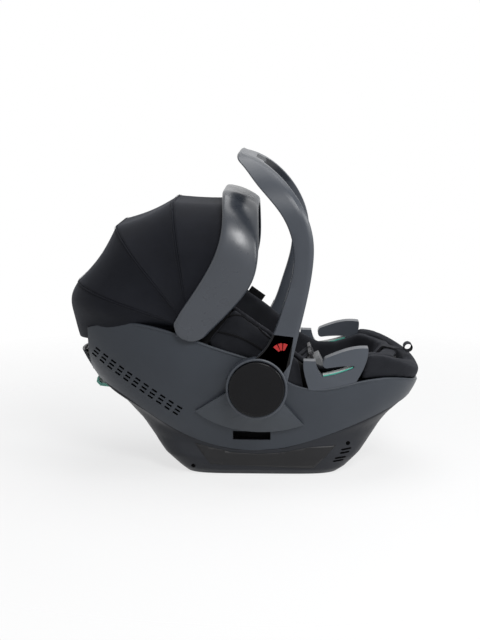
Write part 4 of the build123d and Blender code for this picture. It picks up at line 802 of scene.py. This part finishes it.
# Canopy cloth: four sewn panels that hang between the bow, three wire ribs and the rim of the shell.
# Near-black woven polyester with a faint blue cast, stretched over the ribs and a little slack between.
PIVOT = Vector((-0.124, 0.0, 0.290))
CLOTH_START = 0.024
CANOPY_ARCH = (0.226, 0.172, 0.095)
BOW_ARCH = (0.242, 0.177, 0.093)
ARCHES = {"rear": (161.0, *CANOPY_ARCH), "mid": (128.5, *CANOPY_ARCH), "front": (98.9, *CANOPY_ARCH),
          "bow": (65.5, *BOW_ARCH)}
ARCH_BODIES = {"rear": "seat", "mid": "canopy_mid", "front": "canopy_front", "bow": "canopy_bow"}
REAR_ARCHES = ((161.0, 0.226, 0.172, 0.095), (170.0, 0.2345, 0.164, 0.114), (179.0, 0.2325, 0.152, 0.140),
               (190.0, 0.2265, 0.149, 0.146))
CANOPY_DARK = (0.0048, 0.0054, 0.0080)
CANOPY_LIGHT = (0.0105, 0.0116, 0.0165)
PANEL_CLOTH = 0.0012
SLACK_LEAN = 0.6
SLACK_SPAN = 0.09


def arch_line(radius, half_width, corner, start, straight=12, bend=16, across=12):
    """Points of an arch as distance across and distance from the pivot line."""
    side = [(-half_width, start + (radius - corner - start) * i / straight) for i in range(straight)]
    turn = [(-half_width + corner - corner * math.cos(math.pi / 2 * i / bend),
             radius - corner + corner * math.sin(math.pi / 2 * i / bend)) for i in range(bend)]
    top = [(-half_width + corner + (half_width - corner) * i / across, radius) for i in range(across + 1)]
    half = side + turn + top
    return half + [(-y, r) for y, r in reversed(half[:-1])]


def polar(angle, y, r):
    """Point at a side view angle about the canopy's pivot line."""
    turn = math.radians(angle)
    return PIVOT + Vector((r * math.cos(turn), y, r * math.sin(turn)))


def arch_points(angle, *arch):
    """Points of an arch that stands at a side view angle."""
    return [polar(angle, y, r) for y, r in arch_line(*arch, CLOTH_START)]


def sheet_object(name, rows):
    """Open cloth over rows of points, with a map in metres along and across."""
    count = len(rows[0])
    mesh = new_mesh(name, [p for row in rows for p in row], grid_faces(len(rows), count))
    layer = mesh.uv_layers.new(name="cut")
    along, across = (np.concatenate(([0.0], np.cumsum([(b - a).length for a, b in zip(line, line[1:])])))
                     for line in (rows[len(rows) // 2], [row[count // 2] for row in rows]))
    for loop in mesh.loops:
        layer.data[loop.index].uv = (along[loop.vertex_index % count], across[loop.vertex_index // count])
    for face in mesh.polygons:
        face.use_smooth = True
    return placed(name, mesh)


def canopy_weave(name, dark, light, thread=0.0011):
    """Plain weave that follows the cut of the cloth."""
    material, tree, shader, coords = new_material(name)
    cut = coords.node.outputs["UV"]
    crossed = maths(tree, "MULTIPLY", *(waves(tree, cut, bands, math.tau / (20.0 * thread), 0.4) for bands in "XY"))
    patches = between(tree, clouds(tree, coords, 0.05, 3.0), 0.0, 0.5)
    folds = relief(tree, clouds(tree, coords, 0.045, 2.0), 0.25, 0.004)
    feed(tree, shader, {
        "Base Color": blend_colour(tree, maths(tree, "MULTIPLY_ADD", crossed, 0.5, patches), dark, light),
        "Roughness": 0.72, "Specular IOR Level": 0.14, "Sheen Weight": 0.05, "Sheen Roughness": 0.4,
        "Sheen Tint": (0.70, 0.78, 1.0), "Normal": relief(tree, crossed, 0.45, 0.00018, Normal=folds)})
    return material


def slack_panel(name, first, last, slack, steps=16):
    """Cloth between two arches, straight across and drawn in half way."""
    arches = arch_points(*first), arch_points(*last)
    rows = []
    for t in (i / steps for i in range(steps + 1)):
        row = []
        for p, q in zip(*arches):
            spot = p * (1 - t) + q * t
            inward = PIVOT - spot
            inward.y = -spot.y * SLACK_LEAN
            pull = slack * math.sin(math.pi * t) * min(1.0, (p - q).length / SLACK_SPAN)
            row.append(spot + inward.normalized() * pull)
        rows.append(row)
    return sheet_object(name, rows)


def finish_sheet(obj, body_a, body_b, node):
    """Thickness and finish of one canopy panel, in place of its solid; a panel between two bodies keeps its place,
    any other rides on its body.
    """
    arranged(obj.modifiers.new("cloth", "SOLIDIFY"), thickness=PANEL_CLOTH, offset=0.0)
    obj.data.materials.append(canopy_cloth)
    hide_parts(node)
    if body_b:
        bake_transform(obj)
    else:
        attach(obj, body_a)


canopy_cloth = canopy_weave("canopy_weave", CANOPY_DARK, CANOPY_LIGHT)
for panel, a, b, slack in (("back", "rear", "mid", 0.0065), ("mid", "mid", "front", 0.005),
                           ("front", "front", "bow", 0.003)):
    cloth = slack_panel("canopy_cloth_" + panel, ARCHES[a], ARCHES[b], slack)
    finish_sheet(cloth, ARCH_BODIES[a], ARCH_BODIES[b],
                 "canopy_panel_" + panel)
rear_cloth = sheet_object("canopy_cloth_rear", [arch_points(*arch) for arch in through(REAR_ARCHES, 18)])
finish_sheet(rear_cloth, "seat", None, "canopy_panel_rear")
black_wire = moulded_plastic("coated_wire", (0.004, 0.004, 0.005), (0.007, 0.007, 0.008), 0.5, shine=0.15)
dress(black_wire, "canopy_rib_front", "canopy_rib_mid", "canopy_rib_rear")

# Canopy bow: the wide grey band at the front of the canopy, a moulding that turns on the pivot pins.
# Satin slate with rolled edges; black cloth lines its inside.
BOW_RADIUS = 0.250
BOW_HALF_WIDTH = 0.184
BOW_CORNER = 0.100
BOW_WALL = 0.0036
BOW_REAR = ((-151, 300), (-105, 368), (-80, 412), (-64, 459), (-66, 560))
BOW_FRONT = ((-93, 282), (-41, 335), (-11, 378), (0, 463), (-2, 560))
BOW_END = ((-93, 282), (-107, 269.5), (-124, 267), (-144, 277), (-151, 300))
BOW_COLUMNS = (0.0, 0.012, 0.035, 0.08, 0.16, 0.27, 0.385, 0.5, 0.615, 0.73, 0.84, 0.92, 0.965, 0.988, 1.0)
BOW_ROLL = (0.0034, 0.0017, 0.0006, 0.0001)
BOW_CROWN = 0.0026
BOW_START = 0.033
BOW_END_ROWS = 4
BOW_CROWN_REACH = 0.12
LINING_INSET = 0.0056
LINING_MARGIN = 0.004
DEGREES = 57.3


def edge_by_reach(line):
    """Angle of an outline edge as a list over its distance from the pivot."""
    spots = through(line, 200) / 1000.0 - np.array((PIVOT.x, PIVOT.z))
    reach = np.hypot(spots[:, 0], spots[:, 1])
    angle = np.degrees(np.unwrap(np.arctan2(spots[:, 1], spots[:, 0])))
    order = np.argsort(reach)
    return reach[order], angle[order]


def bow_rows(inset, margin):
    """Rows of the bow's surface from the right end over the top to the left end, at an inset."""
    edges = edge_by_reach(BOW_FRONT), edge_by_reach(BOW_REAR)
    line = arch_line(BOW_RADIUS - inset, BOW_HALF_WIDTH - inset, BOW_CORNER - inset, BOW_START, 14, 22, 14)
    last = len(BOW_COLUMNS) - 1
    rows = []
    for y, r in line[:len(line) // 2 + 1]:
        front, rear = (np.interp(r, *edge) + way * (margin / r * DEGREES) for edge, way in zip(edges, (1, -1)))
        row = []
        for k, v in enumerate(BOW_COLUMNS):
            edge = min(k, last - k)
            sink = BOW_ROLL[edge] if edge < len(BOW_ROLL) else 0.0
            swell = BOW_CROWN * math.sin(math.pi * v) * min(1.0, r / BOW_CROWN_REACH) - sink
            lean = max(0.0, min(1.0, (-y - (BOW_HALF_WIDTH - BOW_CORNER)) / (BOW_CORNER - inset)))
            rise = math.sqrt(max(0.0, 1.0 - lean * lean))
            row.append(polar(front + (rear - front) * v, y - lean * swell, r + rise * swell))
        rows.append(row)
    under = [Vector((x, p.y, z)) for (x, z), p in zip(through(BOW_END, last + 1) / 1000.0, rows[0])]
    shares = [i / BOW_END_ROWS for i in range(BOW_END_ROWS)]
    return [[a * (1 - t) + b * t for a, b in zip(under, rows[0])] for t in shares] + rows


def mirrored_rows(rows):
    """Rows of one half, then their mirror image back down the other side."""
    return rows + [mirrored(row) for row in reversed(rows[:-1])]


bow_plastic = moulded_plastic("slate_bow", (0.033, 0.039, 0.050), (0.045, 0.052, 0.064), 0.29, shine=0.6)
bow = sheet_object("canopy_bow_band", mirrored_rows(bow_rows(0.0, 0.0)))
arranged(bow.modifiers.new("wall", "SOLIDIFY"), thickness=BOW_WALL, offset=-1.0)
arranged(bow.modifiers.new("smooth", "SUBSURF"), levels=1, render_levels=1)
settle(bow, "canopy_bow", "handle_plastic", bow_plastic, "canopy_bow")
lining = sheet_object("bow_lining_cloth", mirrored_rows(bow_rows(LINING_INSET, LINING_MARGIN)[BOW_END_ROWS:]))
arranged(lining.modifiers.new("cloth", "SOLIDIFY"), thickness=0.0011, offset=0.0)
settle(lining, "canopy_bow", "canopy_cloth", canopy_cloth, "bow_lining")

# Canopy seams: a flat-felled seam over each rib, with two rows of lock stitches in black thread.
# The stitches repeat along the seam's line, so one tree lays them for every rib.
SEAM_BEAD = 0.0011
STITCH_PITCH = 0.0046
STITCH_LENGTH = 0.0030
STITCH_THICKNESS = 0.0008
STITCH_START = 0.05
SEAM_ARCH = (0.2268, 0.1728, 0.0955)


def stitch_tree(material):
    """Row of stitches along the edges of a line mesh."""
    tree = bpy.data.node_groups.new("stitch_row", "GeometryNodeTree")
    for name, way in (("Line", "INPUT"), ("Stitches", "OUTPUT")):
        tree.interface.new_socket(name, in_out=way, socket_type="NodeSocketGeometry")
    line = add_node(tree, "NodeGroupInput").outputs[0]
    curve = add_node(tree, "GeometryNodeMeshToCurve", {"Mesh": line}).outputs[0]
    even = add_node(tree, "GeometryNodeResampleCurve", {"Curve": curve, "Length": STITCH_PITCH}, mode="LENGTH")
    tangent = add_node(tree, "GeometryNodeInputTangent").outputs[0]
    align = add_node(tree, "FunctionNodeAlignRotationToVector", {"Vector": tangent}, axis="X")
    bead = add_node(tree, "GeometryNodeMeshIcoSphere", {"Radius": 0.5, "Subdivisions": 1})
    lay = add_node(tree, "GeometryNodeInstanceOnPoints", {
        "Points": even.outputs[0], "Instance": bead.outputs["Mesh"], "Rotation": align.outputs[0],
        "Scale": (STITCH_LENGTH, STITCH_THICKNESS, STITCH_THICKNESS)})
    real = add_node(tree, "GeometryNodeRealizeInstances", {0: lay.outputs[0]}).outputs[0]
    paint = add_node(tree, "GeometryNodeSetMaterial", {"Geometry": real, "Material": material}).outputs[0]
    add_node(tree, "NodeGroupOutput", {0: paint})
    return tree


def stitched(name, lines, tree, body):
    """Stitches along some lines of points, as one plain mesh on a body."""
    points, edges = joined(*((line, [(i, i + 1) for i in range(len(line) - 1)]) for line in lines))
    obj = placed(name, new_mesh(name + "_line", points, (), edges))
    obj.modifiers.new("stitches", "NODES").node_group = tree
    obj.data = baked(obj)
    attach(obj, body)


thread = padded_cloth("sewing_thread", (0.020, 0.021, 0.024), (0.035, 0.036, 0.040), thread=0.0005)
stitch_row = stitch_tree(thread)
for rib_name in ("front", "mid", "rear"):
    angle, body = ARCHES[rib_name][0], ARCH_BODIES[rib_name]
    seam_bead = mesh_object("canopy_seam_" + rib_name, *tube(arch_points(angle, *SEAM_ARCH), SEAM_BEAD, 8))
    settle(seam_bead, body, "canopy_cloth", canopy_cloth)
    rows = [[polar(angle + step * CANOPY_ARCH[0] / max(r, 0.03) * 0.6, y, r) for y, r
             in arch_line(*SEAM_ARCH, STITCH_START)] for step in (-1.5, 1.5)]
    stitched("canopy_stitches_" + rib_name, rows, stitch_row, body)

# Carry handle: a flat grey blade bent into a U, moulded in two halves that meet in a fine groove.
# Satin slate; a chamfer runs along the front edge, and each arm ends in a round hub housing.
HUB_Z = 0.1855
HANDLE_HALF_WIDTH = 0.210
HANDLE_TOP = 0.607
HANDLE_CORNER = 0.120
HANDLE_FRONT = ((55, 195), (75, 283), (99, 400), (100, 457), (65, 538), (-5, 597), (-31, 607))
HANDLE_REAR = ((-30, 228), (-6, 239), (47, 336), (66, 419), (46, 495), (-4, 556), (-29, 586), (-37.5, 598),
               (-36.5, 604), (-31, 607))
ARM_FOOT = 0.0115
ARM_CHANGE = 0.245
OUTER_CLEAR = 0.0535
INNER_CLEAR = 0.0568
GRIP_HALF = 0.070
GRIP_DEPTH = 16
OUTER_SECTION = (("r", 3.0, 0.0), ("m", 0.35, 0.0), ("m", 0.65, 0.0), ("f", 8.2, 0.0), ("f", 7.2, 0.3),
                 ("f", 4.2, 2.0), ("f", 1.1, 3.7), ("f", 0.0, 5.0), ("f", 0.0, 7.6), ("f", 0.0, 10.3),
                 ("f", 0.7, 11.0), ("r", 0.7, 11.0), ("r", 0.0, 10.3), ("r", 0.0, 6.6), ("r", 0.0, 3.2),
                 ("r", 0.3, 1.8), ("r", 0.9, 0.9))
INNER_STEPS = ((0.7, 11.3), (0.0, 12.0), (0.0, 17.0), (0.9, 19.1), (3.0, 20.0))
GRIP_STEPS = ((0.7, 11.2), (-0.3, 12.2), (-0.4, 17.5), (1.0, 20.8), (4.0, 22.0))
HUB_PROFILE = ((56.0, 190.3), (56.0, 209.4), (55.5, 211.2), (54.2, 212.0), (52.4, 212.0), (51.4, 211.5),
               (51.0, 210.4), (51.0, 203.0), (8.2, 203.0), (8.2, 200.0), (51.0, 200.0), (51.0, 190.3))
front_line = through(HANDLE_FRONT, 300) / 1000.0
rear_line = through(HANDLE_REAR, 300) / 1000.0
bend_start = HANDLE_TOP - HANDLE_CORNER
stations = [("arm", z) for z in np.concatenate((np.linspace(HUB_Z + ARM_FOOT, ARM_CHANGE, 16, endpoint=False),
                                                np.linspace(ARM_CHANGE, bend_start, 40, endpoint=False)))]
stations += [("bend", turn) for turn in np.linspace(0.0, math.pi / 2, 26, endpoint=False)]
stations += [("top", y) for y in np.linspace(HANDLE_HALF_WIDTH - HANDLE_CORNER, 0.0, 16)]


def two_edged(steps):
    """Section that steps in alike from the front and the rear edge, down to its last depth."""
    front, rear = ([(edge, *step) for step in steps] for edge in "fr")
    return rear[:1] + front + [("m", 0.5, steps[-1][1])] + rear[:0:-1]


def handle_loop(station, section, hub_clear, ripple=0.0):
    """One section of the blade on the right half, at a station of the arm, the bend or the top."""
    kind, value = station
    loop = []
    for edge, offset, depth in section:
        d = depth / 1000.0
        if kind == "arm":
            y, z = HANDLE_HALF_WIDTH - d, value
        elif kind == "bend":
            y = HANDLE_HALF_WIDTH - HANDLE_CORNER + (HANDLE_CORNER - d) * math.cos(value)
            z = bend_start + (HANDLE_CORNER - d) * math.sin(value)
        else:
            y, z = value, HANDLE_TOP - d + ripple * (depth > GRIP_DEPTH)
        front = float(np.interp(z, front_line[:, 1], front_line[:, 0]))
        rear = float(np.interp(z, rear_line[:, 1], rear_line[:, 0]))
        rise = z - HUB_Z
        if rise < hub_clear:
            rear = max(rear, math.sqrt(hub_clear ** 2 - rise ** 2))
        width = max(front - rear, 0.0)
        if edge == "m":
            x = rear + width * offset
        else:
            step = min(offset / 1000.0, 0.3 * width)
            x = rear + step if edge == "r" else front - step
        loop.append(Vector((x, -y, z)))
    return loop


def turned(profile, side, steps=96):
    """Points and faces of a ring turned about the hub line on one side; the profile is radius and depth in mm."""
    return lofted([[Vector((r / 1000.0 * math.cos(turn), side * y / 1000.0, HUB_Z + r / 1000.0 * math.sin(turn)))
                    for r, y in profile] for turn in turns(steps)], closed=True)


handle_plastic = moulded_plastic("slate_handle", (0.045, 0.052, 0.064), (0.058, 0.066, 0.080), 0.35, shine=0.4)
outer_loops = [handle_loop(station, OUTER_SECTION, OUTER_CLEAR) for station in stations]
hub_rings = [turned(HUB_PROFILE, side) for side in (-1, 1)]
handle = mesh_object("handle_outer", *joined(lofted(mirrored_rows(outer_loops)), *hub_rings))
handle.data.set_sharp_from_angle(angle=math.radians(24))
settle(handle, "handle", "handle_plastic", handle_plastic, "handle_frame")
cover_stations = [s for s in stations if s[0] != "top" or s[1] > GRIP_HALF + 0.001] + [("top", GRIP_HALF + 0.0004)]
inner_section = two_edged(INNER_STEPS)
cover_loops = [handle_loop(station, inner_section, INNER_CLEAR) for station in cover_stations]
left_covers = [mirrored(loop) for loop in cover_loops]
inner = mesh_object("handle_inner", *joined(lofted(cover_loops), lofted(left_covers)))
inner.data.set_sharp_from_angle(angle=math.radians(30))
settle(inner, "handle", "handle_plastic", handle_plastic, "handle_inner_covers")

# Grip: a soft rubber sleeve under the middle of the handle, with shallow finger ridges.
# Moulded onto the inner half, in a matt dark grey.
GRIP_RIDGE = 0.0006
GRIP_PITCH = 0.012
grip_rubber = moulded_plastic("grip_rubber", (0.030, 0.033, 0.038), (0.042, 0.046, 0.052), 0.62,
                              grain=0.0016, depth=0.0002)
grip_section = two_edged(GRIP_STEPS)
grip_loops = [handle_loop(("top", y), grip_section, 0.05, GRIP_RIDGE * math.cos(y / GRIP_PITCH * math.tau))
              for y in np.linspace(GRIP_HALF, -GRIP_HALF, 90)]
grip = mesh_object("handle_grip_sleeve", *lofted(grip_loops))
grip.data.set_sharp_from_angle(angle=math.radians(40))
settle(grip, "handle", "grip_rubber", grip_rubber, "handle_grip")

# Hub buttons: glossy black discs in the hub housings, with their steel lock dogs and return springs.
# Position plates: black trim let into each arm, with a generic red fan that shows the carrying place.
BUTTON_PROFILE = ((0.0, 215.0), (0.0, 217.2), (25.0, 217.35), (43.6, 217.9), (44.6, 217.5), (45.4, 217.2),
                  (46.2, 217.5), (47.0, 217.9), (48.5, 217.8), (49.6, 217.0), (50.2, 215.6), (50.2, 207.9),
                  (47.2, 207.9), (47.2, 215.0))
SPRING_RADII = (0.0220, 0.0158)
SPRING_SPAN = (0.2042, 0.2139)
SPRING_WIRE = 0.0007
SPRING_TURNS = 3.5
SPRING_STEPS = 110
FAN_CENTRE = (46.0, 249.0)
FAN_WEDGES = ((62, 84), (90, 112), (118, 140))
FAN_SECTION = ((8.0, 209.7), (21.0, 209.7), (21.0, 210.3), (8.0, 210.3))
FAN_STEPS = 6
button_gloss = moulded_plastic("button_gloss", (0.003, 0.003, 0.004), (0.0045, 0.0045, 0.0055), 0.15,
                               grain=0.004, depth=0.00001, shine=0.16)
plate_gloss = moulded_plastic("plate_gloss", (0.005, 0.005, 0.0055), (0.008, 0.008, 0.009), 0.28,
                              grain=0.003, depth=0.00001, shine=0.16)
for side, near in (("right", -1), ("left", 1)):
    button = mesh_object("hub_button_" + side, *turned(BUTTON_PROFILE, near))
    button.data.set_sharp_from_angle(angle=math.radians(50))
    settle(button, "button_" + side, "button_plastic", button_gloss, "handle_button_" + side)
    coil = []
    for share in (step / SPRING_STEPS for step in range(SPRING_STEPS + 1)):
        turn = math.tau * SPRING_TURNS * share
        radius, y = (a + (b - a) * share for a, b in (SPRING_RADII, SPRING_SPAN))
        coil.append(Vector((radius * math.cos(turn), near * y, HUB_Z + radius * math.sin(turn))))
    spring = mesh_object("button_coil_" + side, *tube(coil, SPRING_WIRE, 8))
    settle(spring, "handle", "steel", steel, "button_spring_" + side)
    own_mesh(spring)
    dress(steel, "lock_dog_" + side)
refined("position_plates_smooth", "position_plates", "handle", "trim_plastic", plate_gloss)
wedges = []
for side in (-1, 1):
    for start, end in FAN_WEDGES:
        loops = []
        for turn in (math.radians(start + (end - start) * i / FAN_STEPS) for i in range(FAN_STEPS + 1)):
            loops.append([Vector((FAN_CENTRE[0] + r * math.cos(turn), side * y, FAN_CENTRE[1] + r * math.sin(turn)))
                          / 1000.0 for r, y in FAN_SECTION])
        wedges.append(lofted(loops))
fan = mesh_object("position_fan", *joined(*wedges), smooth=False)
settle(fan, "handle", "red_plastic", red_plastic)
